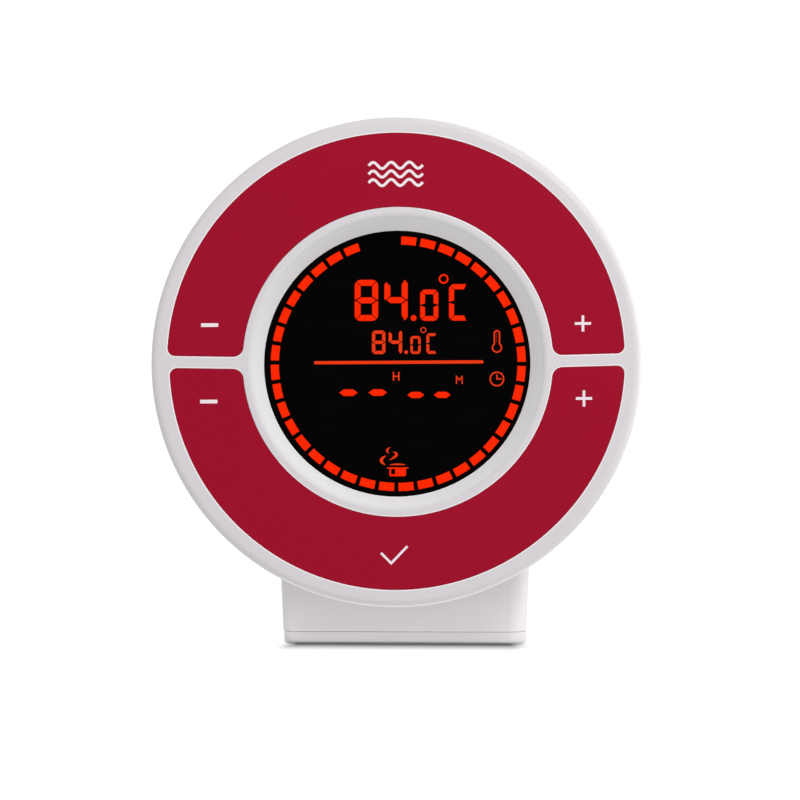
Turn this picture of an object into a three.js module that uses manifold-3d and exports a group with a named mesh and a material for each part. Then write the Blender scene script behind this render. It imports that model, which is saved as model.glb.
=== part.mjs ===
// Sous vide circulator that hangs on the rim of a cooking pot, or stands on its foot.
// A round control head hangs outside the pot, a rectangular immersion leg hangs inside it,
// and a neck with a sprung clip joins the two. Millimetres, +Z up, the face looks along -Y,
// and the origin is on the table below the middle of the object.
import * as THREE from "three";
import { mergeVertices } from "three/addons/utils/BufferGeometryUtils.js";
import Module from "manifold-3d";

const wasm = await Module();
wasm.setup();

// ---- driving dimensions ----
const GAP = 0.3; // clearance between neighbouring pieces
const WALL = 2; // thickness of the moulded casings

const HEAD = { radius: 65, z: 77, front: -47, depth: 22, edge: 2.2 };
const PANEL = { outer: 60.6, inner: 41, thickness: 1.6, corner: 2 };
const CROSSBAR = 3.3; // height of the bar between the two touch panels
const RECESS = { lip: 39, radius: 35.6, depth: 6.3 }; // conical well that the display lies in
const GLASS = { radius: 37.9, thickness: 1.8 };

const LEG = { front: -9, back: 47, halfWidth: 34.4, corner: 5, draft: 0.05 };
const SEAM = 3.4; // height of the joint between the leg and its bottom cover
const PARTITION = { z: 62, thickness: 3 }; // splits the wet chamber from the dry one
const TOP = { seam: 112, z: 135, edge: 4 };

const NECK = { halfWidth: 32, bottom: 104, top: 131, channel: 20, flange: 1.8 };
const CLIP = { y: -16.5, z: 118, tip: 62, tab: 139, thickness: 4, halfWidth: 18.5 };

const SHAFT = { x: 0, y: 19, radius: 2, bottom: 15, top: 108 };
const MOTOR = { radius: 16, bottom: 72, top: 98 };
const PUMP = { radius: 18, bottom: 11.5, top: 25 };
const COIL = { radius: 20, inner: 11.5, tube: 2.6, bottom: 34, turns: 3, pitch: 7.6 };

// ---- worked-out positions ----
const headBack = HEAD.front + HEAD.depth;
const legMiddle = (LEG.back + LEG.front) / 2;
const slotMiddle = (headBack + LEG.front) / 2;

// ---- solids ----
// Turns a closed geometry into a solid with its faces pointing out.
function solid(geometry) {
  const bare = geometry.clone();
  for (const name of Object.keys(bare.attributes))
    if (name !== "position") bare.deleteAttribute(name);
  const merged = mergeVertices(bare, 1e-3);
  const build = (triVerts) =>
    new wasm.Manifold(
      new wasm.Mesh({
        numProp: 3,
        vertProperties: new Float32Array(merged.attributes.position.array),
        triVerts,
      }),
    );
  const triVerts = new Uint32Array(merged.index.array);
  const made = build(triVerts);
  return made.volume() > 0 ? made : build(triVerts.reverse());
}

function geometryOf(shape) {
  const { vertProperties, triVerts } = shape.getMesh();
  return new THREE.BufferGeometry()
    .setAttribute("position", new THREE.BufferAttribute(vertProperties, 3))
    .setIndex(new THREE.BufferAttribute(triVerts, 1));
}

const join = (...solids) => solids.reduce((all, one) => all.add(one));
const cut = (body, ...tools) => tools.reduce((left, tool) => left.subtract(tool), body);

function box(x0, x1, y0, y1, z0, z1) {
  const geometry = new THREE.BoxGeometry(x1 - x0, y1 - y0, z1 - z0);
  return solid(geometry.translate((x0 + x1) / 2, (y0 + y1) / 2, (z0 + z1) / 2));
}

// A box given by its distances from the middle plane, on the right (side 1) or left (side -1).
const sideBox = (side, near, far, ...rest) =>
  side > 0 ? box(near, far, ...rest) : box(-far, -near, ...rest);

// Upright cylinder on Z, from z0 to z1.
function post(x, y, radius, z0, z1, sides = 16) {
  const geometry = new THREE.CylinderGeometry(radius, radius, z1 - z0, sides);
  return solid(geometry.rotateX(Math.PI / 2).translate(x, y, (z0 + z1) / 2));
}

// Cylinder that lies along Y, from y0 to y1.
function rodY(x, z, radius, y0, y1, sides = 16) {
  const geometry = new THREE.CylinderGeometry(radius, radius, y1 - y0, sides);
  return solid(geometry.translate(x, (y0 + y1) / 2, z));
}

// Cylinder that lies along X, from x0 to x1.
function rodX(y, z, radius, x0, x1, sides = 16) {
  const geometry = new THREE.CylinderGeometry(radius, radius, x1 - x0, sides);
  return solid(geometry.rotateZ(Math.PI / 2).translate((x0 + x1) / 2, y, z));
}

const ring = (x, y, inner, outer, z0, z1, sides = 20) =>
  post(x, y, outer, z0, z1, sides).subtract(post(x, y, inner, z0 - 1, z1 + 1, sides));

const arc = (cx, cy, radius, from, to, steps) =>
  Array.from({ length: steps + 1 }, (_, i) => {
    const angle = from + ((to - from) * i) / steps;
    return [cx + radius * Math.cos(angle), cy + radius * Math.sin(angle)];
  });

// Body of revolution about the head's axis. Points are [radius, distance behind the face].
function headLathe(profile, sides = 56) {
  const points = profile.map(([radius, depth]) => new THREE.Vector2(radius, depth));
  if (profile[0][0] > 0 || profile[profile.length - 1][0] > 0) points.push(points[0].clone());
  const geometry = new THREE.LatheGeometry(points, sides);
  return solid(geometry.translate(0, HEAD.front, HEAD.z));
}

// Body of revolution about an upright axis. Points are [radius, height].
function uprightLathe(x, y, profile, sides = 20) {
  const points = profile.map(([radius, height]) => new THREE.Vector2(radius, height));
  if (profile[0][0] > 0) points.push(points[0].clone());
  const geometry = new THREE.LatheGeometry(points, sides).rotateX(Math.PI / 2);
  return solid(geometry.translate(x, y, 0));
}

function roundedRectangle(halfX, y0, y1, radius) {
  const shape = new THREE.Shape();
  shape.moveTo(-halfX + radius, y0);
  shape.lineTo(halfX - radius, y0);
  shape.absarc(halfX - radius, y0 + radius, radius, -Math.PI / 2, 0);
  shape.lineTo(halfX, y1 - radius);
  shape.absarc(halfX - radius, y1 - radius, radius, 0, Math.PI / 2);
  shape.lineTo(-halfX + radius, y1);
  shape.absarc(-halfX + radius, y1 - radius, radius, Math.PI / 2, Math.PI);
  shape.lineTo(-halfX, y0 + radius);
  shape.absarc(-halfX + radius, y0 + radius, radius, Math.PI, 1.5 * Math.PI);
  return shape;
}

// Widens a piece with height, as the leg's moulding draft does.
function draft(geometry) {
  const position = geometry.attributes.position;
  for (let i = 0; i < position.count; i++) {
    const grow = 1 + (LEG.draft * (position.getZ(i) - SEAM)) / LEG.halfWidth;
    position.setX(i, position.getX(i) * grow);
  }
  return geometry;
}

// Upright slice of the leg's outline, moved in from its outer face, from z0 to z1.
function legPrism(inset, z0, z1) {
  const outline = roundedRectangle(
    LEG.halfWidth - inset,
    LEG.front + inset,
    LEG.back - inset,
    Math.max(LEG.corner - inset, 1),
  );
  const options = { depth: z1 - z0, bevelEnabled: false, curveSegments: 4 };
  return solid(draft(new THREE.ExtrudeGeometry(outline, options).translate(0, 0, z0)));
}

// The same slice with rounded edges, from z0 to z1.
function softLegPrism(inset, z0, z1, edge) {
  const outline = roundedRectangle(
    LEG.halfWidth - inset - edge,
    LEG.front + inset + edge,
    LEG.back - inset - edge,
    Math.max(LEG.corner - inset - edge, 0.6),
  );
  const geometry = new THREE.ExtrudeGeometry(outline, {
    depth: z1 - z0 - 2 * edge,
    curveSegments: 4,
    bevelThickness: edge,
    bevelSize: edge,
    bevelSegments: 3,
  });
  return solid(draft(geometry.translate(0, 0, z0 + edge)));
}

// Round bar along a list of points.
function bar(points, radius, steps, sides) {
  const path = new THREE.CatmullRomCurve3(points.map((p) => new THREE.Vector3(...p)));
  const section = new THREE.Shape();
  section.setFromPoints(
    arc(0, 0, radius, 0, 2 * Math.PI, sides)
      .slice(0, sides)
      .map(([x, y]) => new THREE.Vector2(x, y)),
  );
  return solid(new THREE.ExtrudeGeometry(section, { steps, extrudePath: path }));
}

// Outline in the Y-Z plane, pushed along X between -halfWidth and +halfWidth.
function sideProfile(points, halfWidth) {
  const shape = new THREE.Shape(points.map(([y, z]) => new THREE.Vector2(y, z)));
  const options = { depth: 2 * halfWidth, bevelEnabled: false };
  const geometry = new THREE.ExtrudeGeometry(shape, options);
  return solid(
    geometry.rotateX(Math.PI / 2).rotateZ(Math.PI / 2).translate(-halfWidth, 0, 0),
  );
}

// ---- materials ----
const finish = (color, roughness, metalness = 0, extra = {}) => () =>
  new THREE.MeshStandardMaterial({ color, roughness, metalness, ...extra });
const whiteShell = finish(0xd9d4d8, 0.45);
const crimson = finish(0x9e162f, 0.4);
const blackGlass = finish(0x040405, 0.15);
const lightGuide = finish(0xff2a04, 0.5, 0, { emissive: 0xff2a04 });
const boardGreen = finish(0x1d5b3a, 0.6);
const boardBlack = finish(0x161719, 0.5);
const steel = finish(0xb9bcc0, 0.3, 1);
const blackPlastic = finish(0x202124, 0.55);
const greyPlastic = finish(0x8d9094, 0.5);
const rubber = finish(0x2b2b2e, 0.8);
const copper = finish(0xb46a3a, 0.4, 1);
const brass = finish(0xc2a04e, 0.35, 1);
const aluminium = finish(0xa9adb2, 0.4, 1);

const circulator = new THREE.Group();
circulator.name = "sous_vide_circulator";

function add(name, shape, material) {
  const mesh = new THREE.Mesh(geometryOf(shape), material());
  mesh.name = name;
  circulator.add(mesh);
}

// ---- control head ----
const screwSpots = [45, 135, 225, 315].map((degrees) => {
  const angle = THREE.MathUtils.degToRad(degrees);
  return [56 * Math.cos(angle), HEAD.z + 56 * Math.sin(angle)];
});

function frontBezel() {
  const { radius, edge } = HEAD;
  const floor = PANEL.thickness + GAP;
  const shell = headLathe([
    ...arc(radius - edge, edge, edge, 0, -Math.PI / 2, 3),
    [PANEL.outer, 0],
    [PANEL.outer, floor],
    [PANEL.inner, floor],
    [PANEL.inner, 0],
    [RECESS.lip, 0],
    [RECESS.radius, RECESS.depth],
    [GLASS.radius + GAP, RECESS.depth + 0.4],
    [GLASS.radius + GAP, 10],
    [GLASS.radius + WALL, 10],
    [PANEL.inner + WALL, floor + WALL],
    [radius - WALL, floor + WALL],
    [radius - WALL, 18.6],
    [radius, 18.6],
  ]);
  const arm = (side) =>
    sideBox(
      side,
      PANEL.inner - 0.5,
      PANEL.outer + 0.5,
      HEAD.front,
      HEAD.front + floor + 1,
      HEAD.z - CROSSBAR / 2,
      HEAD.z + CROSSBAR / 2,
    );
  const bosses = screwSpots.map(([x, z]) =>
    cut(
      rodY(x, z, 3.4, HEAD.front + floor + 1, HEAD.front + 17.6, 12),
      rodY(x, z, 1.5, HEAD.front + 9, HEAD.front + 18, 8),
    ),
  );
  return join(shell, arm(1), arm(-1), ...bosses);
}

// Half ring with rounded corners: side 1 lies above the crossbar and -1 below it.
function touchPanel(side) {
  const { corner, thickness } = PANEL;
  const outer = PANEL.outer - GAP;
  const inner = PANEL.inner + GAP;
  const base = CROSSBAR / 2 + GAP;
  const outerTurn = Math.asin((base + corner) / (outer - corner));
  const innerTurn = Math.asin((base + corner) / (inner + corner));
  const outerX = (outer - corner) * Math.cos(outerTurn);
  const innerX = (inner + corner) * Math.cos(innerTurn);
  const shape = new THREE.Shape(
    [
      ...arc(0, 0, outer, outerTurn, Math.PI - outerTurn, 32),
      ...arc(-outerX, base + corner, corner, Math.PI - outerTurn, 1.5 * Math.PI, 4),
      ...arc(-innerX, base + corner, corner, -Math.PI / 2, -innerTurn, 4),
      ...arc(0, 0, inner, Math.PI - innerTurn, innerTurn, 26),
      ...arc(innerX, base + corner, corner, Math.PI + innerTurn, 1.5 * Math.PI, 4),
      ...arc(outerX, base + corner, corner, -Math.PI / 2, outerTurn, 4),
    ].map(([x, z]) => new THREE.Vector2(x, z)),
  );
  const geometry = new THREE.ExtrudeGeometry(shape, { depth: thickness, bevelEnabled: false });
  geometry.rotateX(Math.PI / 2);
  if (side < 0) geometry.rotateY(Math.PI);
  return solid(geometry.translate(0, HEAD.front + thickness, HEAD.z));
}

function headDisc(outer, depth0, depth1, inner = 0, sides = 48) {
  const disc = rodY(0, HEAD.z, outer, HEAD.front + depth0, HEAD.front + depth1, sides);
  if (!inner) return disc;
  return disc.subtract(
    rodY(0, HEAD.z, inner, HEAD.front + depth0 - 1, HEAD.front + depth1 + 1, sides),
  );
}

const glassFront = RECESS.depth + 0.4 + GAP;
const moduleFront = glassFront + GLASS.thickness + GAP;
const boardFront = 13.6;

function controlBoard() {
  const y = HEAD.front + boardFront;
  const chips = [
    [-14, -10, 12, 12, 1.4],
    [8, -14, 9, 6, 1.2],
    [-30, 12, 6, 14, 3.4],
    [20, 14, 10, 8, 2.4],
    [26, -22, 7, 7, 3],
  ].map(([x, z, w, h, t]) =>
    box(x, x + w, y + 1.4, y + 1.6 + t, HEAD.z + z, HEAD.z + z + h),
  );
  return join(headDisc(50, boardFront, boardFront + 1.6), ...chips);
}

function headRearCover() {
  const back = HEAD.depth;
  const shell = headLathe([
    [0, back - WALL],
    [HEAD.radius - WALL - GAP - 1.6, back - WALL],
    [HEAD.radius - WALL - GAP - 1.6, 16.4],
    [HEAD.radius - WALL - GAP, 16.4],
    [HEAD.radius - WALL - GAP, 18.9],
    [HEAD.radius, 18.9],
    ...arc(HEAD.radius - HEAD.edge, back - HEAD.edge, HEAD.edge, 0, Math.PI / 2, 3),
    [0, back],
  ]);
  const holes = screwSpots.flatMap(([x, z]) => [
    rodY(x, z, 1.7, headBack - 4, headBack + 1, 10),
    rodY(x, z, 3.3, headBack - 1, headBack + 1, 12),
  ]);
  const duct = box(22.5, 29.5, headBack - 4, headBack + 1, 113, 121);
  return cut(shell, ...holes, duct);
}

function headScrew([x, z]) {
  const head = rodY(x, z, 3, headBack - 1, headBack - 0.1, 12);
  return cut(
    join(head, rodY(x, z, 1.2, HEAD.front + 10, headBack - 0.8, 8)),
    box(x - 2, x + 2, headBack - 0.5, headBack + 1, z - 0.35, z + 0.35),
    box(x - 0.35, x + 0.35, headBack - 0.5, headBack + 1, z - 2, z + 2),
  );
}

add("front_bezel", frontBezel(), whiteShell);
add("upper_touch_panel", touchPanel(1), crimson);
add("lower_touch_panel", touchPanel(-1), crimson);
add(
  "display_glass",
  headDisc(GLASS.radius, glassFront, glassFront + GLASS.thickness),
  blackGlass,
);
add("light_guide_ring", headDisc(35.5, moduleFront, moduleFront + 2.6, 31.2, 40), lightGuide);
add("display_module", headDisc(30.8, moduleFront, moduleFront + 3.8, 0, 32), boardBlack);
add(
  "touch_sensor_board",
  cut(
    headDisc(59.5, PANEL.thickness + WALL + 2 * GAP, 5.4, 44.2, 40),
    ...screwSpots.map(([x, z]) => rodY(x, z, 4, HEAD.front, HEAD.front + 9, 10)),
  ),
  boardGreen,
);
add("control_board", controlBoard(), boardGreen);
add(
  "buzzer",
  rodY(2, HEAD.z - 32, 4.5, HEAD.front + boardFront + 1.9, HEAD.front + 19, 20),
  blackPlastic,
);
add("head_rear_cover", headRearCover(), whiteShell);
screwSpots.forEach((spot, i) => add(`head_screw_${i + 1}`, headScrew(spot), steel));

// ---- neck and clip ----
function neckBridge() {
  const { halfWidth, bottom, top, channel, flange } = NECK;
  const front = headBack + GAP;
  const back = LEG.front - GAP;
  const block = box(-halfWidth, halfWidth, front, back, bottom, top);
  const channelCut = box(
    -channel,
    channel,
    front + flange,
    back - flange,
    bottom - 1,
    top + 1,
  );
  const duct = box(23, 29, front - 1, back + 1, 113.5, 120.5);
  const pinBore = rodX(CLIP.y, CLIP.z, 1.8, -channel - 2.5, channel + 2.5, 12);
  const frontRelief = box(
    -channel,
    channel,
    front - 1,
    front + flange + 1,
    bottom - 1,
    bottom + 4,
  );
  return cut(block, channelCut, duct, pinBore, frontRelief);
}

function clipLever() {
  const { y, z, tip, tab, thickness, halfWidth } = CLIP;
  const half = thickness / 2;
  const plate = sideProfile(
    [
      [y - half, z + 3],
      [y - half - 1, tab],
      [y - half + 2, tab],
      [y + half, z + 3],
      [y + half, z - 8],
      [LEG.front - 3.4, tip + 12],
      [LEG.front - 3.4, tip],
      [LEG.front - 3.4 - half, tip],
      [y - half + 1.5, tip + 14],
      [y - half, z - 8],
    ],
    halfWidth,
  );
  const barrel = rodX(y, z, 4, -halfWidth, halfWidth, 16);
  const springRooms = [-1, 1].map((side) => sideBox(side, 6, 15, y - 6, y + 6, z - 6, z + 6));
  return cut(
    join(plate, barrel),
    ...springRooms,
    rodX(y, z, 1.8, -halfWidth - 1, halfWidth + 1, 12),
  );
}

function clipSpring(side) {
  const turns = 4;
  const perTurn = 10;
  const points = [];
  for (let i = 0; i <= turns * perTurn; i++) {
    const angle = (2 * Math.PI * i) / perTurn;
    points.push([
      side * (7 + (6.4 * i) / (turns * perTurn)),
      CLIP.y + 3.1 * Math.cos(angle),
      CLIP.z + 3.1 * Math.sin(angle),
    ]);
  }
  return bar(points, 0.55, turns * perTurn, 5);
}

add("neck_bridge", neckBridge(), whiteShell);
add("clip_lever", clipLever(), greyPlastic);
add(
  "clip_pad",
  box(
    -CLIP.halfWidth + 1,
    CLIP.halfWidth - 1,
    LEG.front - 3.1,
    LEG.front - 0.6,
    CLIP.tip + 1,
    CLIP.tip + 11,
  ),
  rubber,
);
add("clip_pin", rodX(CLIP.y, CLIP.z, 1.5, -NECK.channel - 2, NECK.channel + 2, 12), steel);
add("clip_spring_left", clipSpring(-1), steel);
add("clip_spring_right", clipSpring(1), steel);
add(
  "head_cable",
  bar(
    [
      [26, headBack - 3.6, 108],
      [26, headBack - 3.4, 114],
      [26, headBack, 117],
      [26, slotMiddle, 117],
      [26, LEG.front, 117],
      [26, LEG.front + 4, 117.5],
    ],
    1.5,
    20,
    8,
  ),
  blackPlastic,
);

// ---- immersion leg ----
const inside = WALL + GAP;
const outlet = { z0: 13, z1: 23, halfWidth: 9 };

function legHousing() {
  const shell = cut(
    legPrism(0, SEAM, TOP.seam),
    legPrism(WALL, SEAM - 1, TOP.seam + 1),
  );
  const slots = [];
  for (const side of [-1, 1])
    for (let i = 0; i < 6; i++) {
      const y = legMiddle - 15 + 6 * i;
      slots.push(sideBox(side, LEG.halfWidth - 7, LEG.halfWidth + 3, y - 1.3, y + 1.3, 16, 44));
    }
  const outletHole = box(
    -outlet.halfWidth,
    outlet.halfWidth,
    LEG.back - 4,
    LEG.back + 1,
    outlet.z0,
    outlet.z1,
  );
  const cableHole = box(23, 29, LEG.front - 1, LEG.front + 4, TOP.seam - 0.5, TOP.seam + 2);
  const ledge = cut(legPrism(WALL - 0.5, 57, 60), legPrism(WALL + 2, 56, 61));
  return join(cut(shell, ...slots, outletHole, cableHole), ledge);
}

function bottomCover() {
  const belowSeam = box(-60, 60, -60, 60, 0, SEAM - GAP);
  const plate = softLegPrism(0.3, 0, 6.2, 1.3).intersect(belowSeam);
  const spigot = cut(legPrism(inside, 1, 8.5), legPrism(inside + 1.6, SEAM - GAP, 9));
  const grille = [-2, -1, 0, 1, 2].map((i) =>
    box(-13, 13, SHAFT.y + 5.5 * i - 1.2, SHAFT.y + 5.5 * i + 1.2, -1, 6),
  );
  return cut(join(plate, spigot), ...grille);
}

function partitionPlate() {
  const { z, thickness } = PARTITION;
  const hole = (x, y, radius) => post(x, y, radius, z - 2, z + thickness + 2, 12);
  return cut(
    legPrism(inside + 0.2, z, z + thickness),
    hole(SHAFT.x, SHAFT.y, 5.6),
    hole(COIL.radius, SHAFT.y, COIL.tube + GAP + 0.3),
    hole(-COIL.inner, SHAFT.y, COIL.tube + GAP + 0.2),
    hole(-24, 38, 2.3),
    hole(24, 38, 1.9),
    hole(28, 2, 1.9),
  );
}

// One bar: down through the partition, round the helix, and back up inside its turns.
function heaterCoil() {
  const perTurn = 14;
  const count = Math.round((COIL.turns + 0.5) * perTurn);
  const top = COIL.bottom + COIL.pitch * COIL.turns;
  const tailHeights = [PARTITION.z + 6.6, PARTITION.z + 3, PARTITION.z - 0.4, top + 2.6];
  const points = tailHeights.map((z) => [COIL.radius, SHAFT.y, z]);
  for (let i = 1; i <= count; i++) {
    const angle = (2 * Math.PI * i) / perTurn;
    points.push([
      COIL.radius * Math.cos(angle),
      SHAFT.y + COIL.radius * Math.sin(angle),
      top - (COIL.pitch * i) / perTurn,
    ]);
  }
  const end = top - COIL.pitch * (COIL.turns + 0.5);
  points.push([-COIL.radius + 3.6, SHAFT.y - 3.2, end - 1]);
  points.push([-COIL.inner, SHAFT.y - 1, end + 2.4]);
  for (const z of [end + 8, end + 20, ...tailHeights.slice(0, 3).reverse()])
    points.push([-COIL.inner, SHAFT.y, z]);
  return bar(points, COIL.tube, count + 22, 7);
}

function pumpVolute() {
  const { radius, bottom, top } = PUMP;
  const cup = uprightLathe(SHAFT.x, SHAFT.y, [
    [7, bottom],
    [radius, bottom],
    [radius, top],
    [6, top],
    [6, top - 1.6],
    [radius - 1.6, top - 1.6],
    [radius - 1.6, bottom + 1.6],
    [7, bottom + 1.6],
  ], 28);
  const ductOuter = box(-8, 8, SHAFT.y + 8, LEG.back - 6, outlet.z0 + 0.4, outlet.z1 - 0.4);
  const ductInner = box(-6.6, 6.6, SHAFT.y + 7, LEG.back - 5, outlet.z0 + 1.8, outlet.z1 - 1.8);
  const room = post(SHAFT.x, SHAFT.y, radius - 1.6, bottom + 1.6, top - 1.6, 28);
  return cut(join(cup, ductOuter), ductInner, room);
}

function outletNozzle() {
  const { halfWidth, z0, z1 } = outlet;
  const front = LEG.back - 5;
  const flangeBack = LEG.back - WALL - GAP;
  const body = join(
    box(-halfWidth + GAP, halfWidth - GAP, front, LEG.back - 0.2, z0 + GAP, z1 - GAP),
    box(-halfWidth - 1.2, halfWidth + 1.2, front, flangeBack, z0 - 1.2, z1 + 1.2),
  );
  const slots = [-2, -1, 0, 1, 2].map((i) =>
    box(3.2 * i - 0.9, 3.2 * i + 0.9, LEG.back - 7, LEG.back + 1, z0 + 2, z1 - 2),
  );
  return cut(body, ...slots);
}

function impeller() {
  const { x, y } = SHAFT;
  const plate = post(x, y, 14, 18.5, 20, 24);
  const hub = post(x, y, 4.2, 15.2, 22.2, 16);
  const vanes = Array.from({ length: 6 }, (_, i) => {
    const blade = new THREE.BoxGeometry(10.5, 1.3, 4.4).translate(8, 0, 16.6);
    return solid(blade.rotateZ((Math.PI * i) / 3).translate(x, y, 0));
  });
  return cut(join(plate, hub, ...vanes), post(x, y, SHAFT.radius + GAP, 14, 24, 12));
}

function coolingFan() {
  const { x, y } = SHAFT;
  const hub = post(x, y, 4.5, 104.6, 109, 16);
  const blades = Array.from({ length: 7 }, (_, i) => {
    const blade = new THREE.BoxGeometry(11.5, 4.2, 0.9).rotateX(0.55);
    const turn = (2 * Math.PI * i) / 7;
    return solid(blade.translate(9, 0, 106.8).rotateZ(turn).translate(x, y, 0));
  });
  return cut(join(hub, ...blades), post(x, y, SHAFT.radius + GAP, 104, 108.6, 12));
}

function motorBracket() {
  const { x, y } = SHAFT;
  const bottom = PARTITION.z + PARTITION.thickness + GAP;
  const plate = box(x - 19, x + 19, y - 10, y + 10, MOTOR.bottom - 2.3, MOTOR.bottom - GAP);
  const feet = [-1, 1].flatMap((side) => [
    sideBox(side, 13, 16, y - 10, y - 5, bottom, MOTOR.bottom - 1),
    sideBox(side, 13, 16, y + 5, y + 10, bottom, MOTOR.bottom - 1),
  ]);
  return cut(join(plate, ...feet), post(x, y, 6.3, MOTOR.bottom - 5, MOTOR.bottom + 1, 16));
}

function motorCan() {
  const { radius, bottom, top } = MOTOR;
  return uprightLathe(SHAFT.x, SHAFT.y, [
    [6.3, bottom],
    [radius, bottom],
    [radius, top],
    [radius - 1, top],
    [radius - 1, bottom + 1],
    [6.3, bottom + 1],
  ], 28);
}

function motorEndCap() {
  const { radius, top } = MOTOR;
  return uprightLathe(SHAFT.x, SHAFT.y, [
    [6.3, top + GAP],
    [radius, top + GAP],
    [radius, top + 2],
    [9, top + 3],
    [9, top + 5.4],
    [6.3, top + 5.4],
  ], 28);
}

add("leg_housing", legHousing(), whiteShell);
add("bottom_cover", bottomCover(), whiteShell);
for (const [side, name] of [
  [-1, "left"],
  [1, "right"],
])
  add(
    `grip_pad_${name}`,
    sideBox(side, 22, 31, LEG.front - 1.2, LEG.front - 0.1 * GAP, 58, 98),
    rubber,
  );
add("outlet_nozzle", outletNozzle(), greyPlastic);
add("partition_plate", partitionPlate(), greyPlastic);
add(
  "partition_seal",
  cut(
    legPrism(inside, PARTITION.z + PARTITION.thickness + GAP, PARTITION.z + 5.6),
    legPrism(inside + 2.2, PARTITION.z + 2, PARTITION.z + 8),
  ),
  rubber,
);
add("heater_coil", heaterCoil(), steel);
add("temperature_probe", post(-24, 38, 1.9, 22, PARTITION.z + 8, 12), steel);
add("low_level_sensor", post(24, 38, 1.5, 26, PARTITION.z + 8, 10), steel);
add("high_level_sensor", post(28, 2, 1.5, 50, PARTITION.z + 8, 10), steel);
add("pump_volute", pumpVolute(), blackPlastic);
add("impeller", impeller(), greyPlastic);
add("motor_shaft", post(SHAFT.x, SHAFT.y, SHAFT.radius, SHAFT.bottom, SHAFT.top, 12), steel);
add(
  "shaft_seal",
  ring(SHAFT.x, SHAFT.y, SHAFT.radius + GAP, 5.3, PARTITION.z - 0.6, PARTITION.z + 4),
  rubber,
);
add("motor_bracket", motorBracket(), steel);
add(
  "lower_bearing",
  ring(SHAFT.x, SHAFT.y, SHAFT.radius + GAP, 6, MOTOR.bottom - 2.4, MOTOR.bottom + 1.6),
  steel,
);
add("motor_can", motorCan(), aluminium);
add(
  "motor_stator",
  ring(SHAFT.x, SHAFT.y, 9.4, MOTOR.radius - 1 - GAP, MOTOR.bottom + 3, MOTOR.top - 3, 24),
  copper,
);
add(
  "motor_rotor",
  ring(SHAFT.x, SHAFT.y, SHAFT.radius + GAP, 8.8, MOTOR.bottom + 3.4, MOTOR.top - 3.4, 24),
  steel,
);
add(
  "upper_bearing",
  ring(SHAFT.x, SHAFT.y, SHAFT.radius + GAP, 6, MOTOR.top + 0.8, MOTOR.top + 4.8),
  steel,
);
add("motor_end_cap", motorEndCap(), aluminium);
add("cooling_fan", coolingFan(), blackPlastic);

// ---- top housing ----
const inlet = { x: 0, z: 124, halfWidth: 9, halfHeight: 5.5, depth: 10, pinX: 4.3 };
const coverScrewX = [-22, 22];

function topCover() {
  const outer = softLegPrism(0, TOP.seam - 8, TOP.z, TOP.edge).intersect(
    box(-60, 60, -60, 60, TOP.seam + GAP, TOP.z + 1),
  );
  const hollow = softLegPrism(WALL, TOP.seam - 8, TOP.z - WALL, TOP.edge - WALL + 0.5);
  const vents = [];
  for (const side of [-1, 1])
    for (let i = 0; i < 5; i++) {
      const y = legMiddle - 10 + 5 * i;
      vents.push(sideBox(side, 30, 50, y - 1.1, y + 1.1, 118, 129));
    }
  const inletHole = box(
    inlet.x - inlet.halfWidth - GAP,
    inlet.x + inlet.halfWidth + GAP,
    LEG.back - 4,
    LEG.back + 4,
    inlet.z - inlet.halfHeight - GAP,
    inlet.z + inlet.halfHeight + GAP,
  );
  const cableHole = box(22.7, 29.3, LEG.front - 1, LEG.front + 4, TOP.seam, 121);
  const screwHoles = coverScrewX.flatMap((x) => [
    rodY(x, inlet.z, 1.7, LEG.back - 4, LEG.back + 1, 10),
    rodY(x, inlet.z, 3, LEG.back - 1.2, LEG.back + 1, 12),
  ]);
  return cut(outer, hollow, ...vents, inletHole, cableHole, ...screwHoles);
}

function mainsInlet() {
  const { x, z, halfWidth, halfHeight, depth, pinX } = inlet;
  const { back } = LEG;
  const block = (wider, taller, y0, y1) =>
    box(
      x - halfWidth - wider,
      x + halfWidth + wider,
      y0,
      y1,
      z - halfHeight - taller,
      z + halfHeight + taller,
    );
  const body = join(block(0, 0, back - depth, back - 0.4), block(2, 1.5, back - 4, back - WALL - GAP));
  const well = box(x - 7.2, x + 7.2, back - 8, back + 1, z - 3.6, z + 3.6);
  const pinHoles = [-pinX, pinX].map((offset) => rodY(x + offset, z, 1.5, back - 12, back - 7, 10));
  return cut(body, well, ...pinHoles);
}

function heatsink() {
  const base = box(-31, -16, 2, 4, 114.6, 131);
  const fins = [0, 1, 2, 3, 4].map((i) =>
    box(-31 + 3.3 * i, -29.6 + 3.3 * i, 1, 10, 114.6, 131),
  );
  return join(base, ...fins).intersect(box(-33, -14, 2, 10, 114.6, 129));
}

function coverScrew(x) {
  return join(
    rodY(x, inlet.z, 1.3, LEG.back - 10, LEG.back - 0.5, 8),
    rodY(x, inlet.z, 2.6, LEG.back - 0.9, LEG.back - 0.1, 12),
  );
}

add("top_cover", topCover(), whiteShell);
add("power_board", box(-31.5, 31.5, -5, 34, TOP.seam + 0.7, TOP.seam + 2.3), boardGreen);
add("transformer", box(-12, 9, 10, 28, 114.6, 130), copper);
add("relay", box(14, 26, 12, 30, 114.6, 129), blackPlastic);
add("capacitor", post(16, 3, 6, 114.6, 130, 20), aluminium);
add("triac_heatsink", heatsink(), aluminium);
add("mains_inlet", mainsInlet(), blackPlastic);
for (const [side, name] of [
  [-1, "left"],
  [1, "right"],
]) {
  const pinX = inlet.x + side * inlet.pinX;
  add(`inlet_pin_${name}`, rodY(pinX, inlet.z, 1.2, LEG.back - 11, LEG.back - 1.5, 10), brass);
}
add("cover_screw_left", coverScrew(coverScrewX[0]), steel);
add("cover_screw_right", coverScrew(coverScrewX[1]), steel);

export default circulator;
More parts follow.
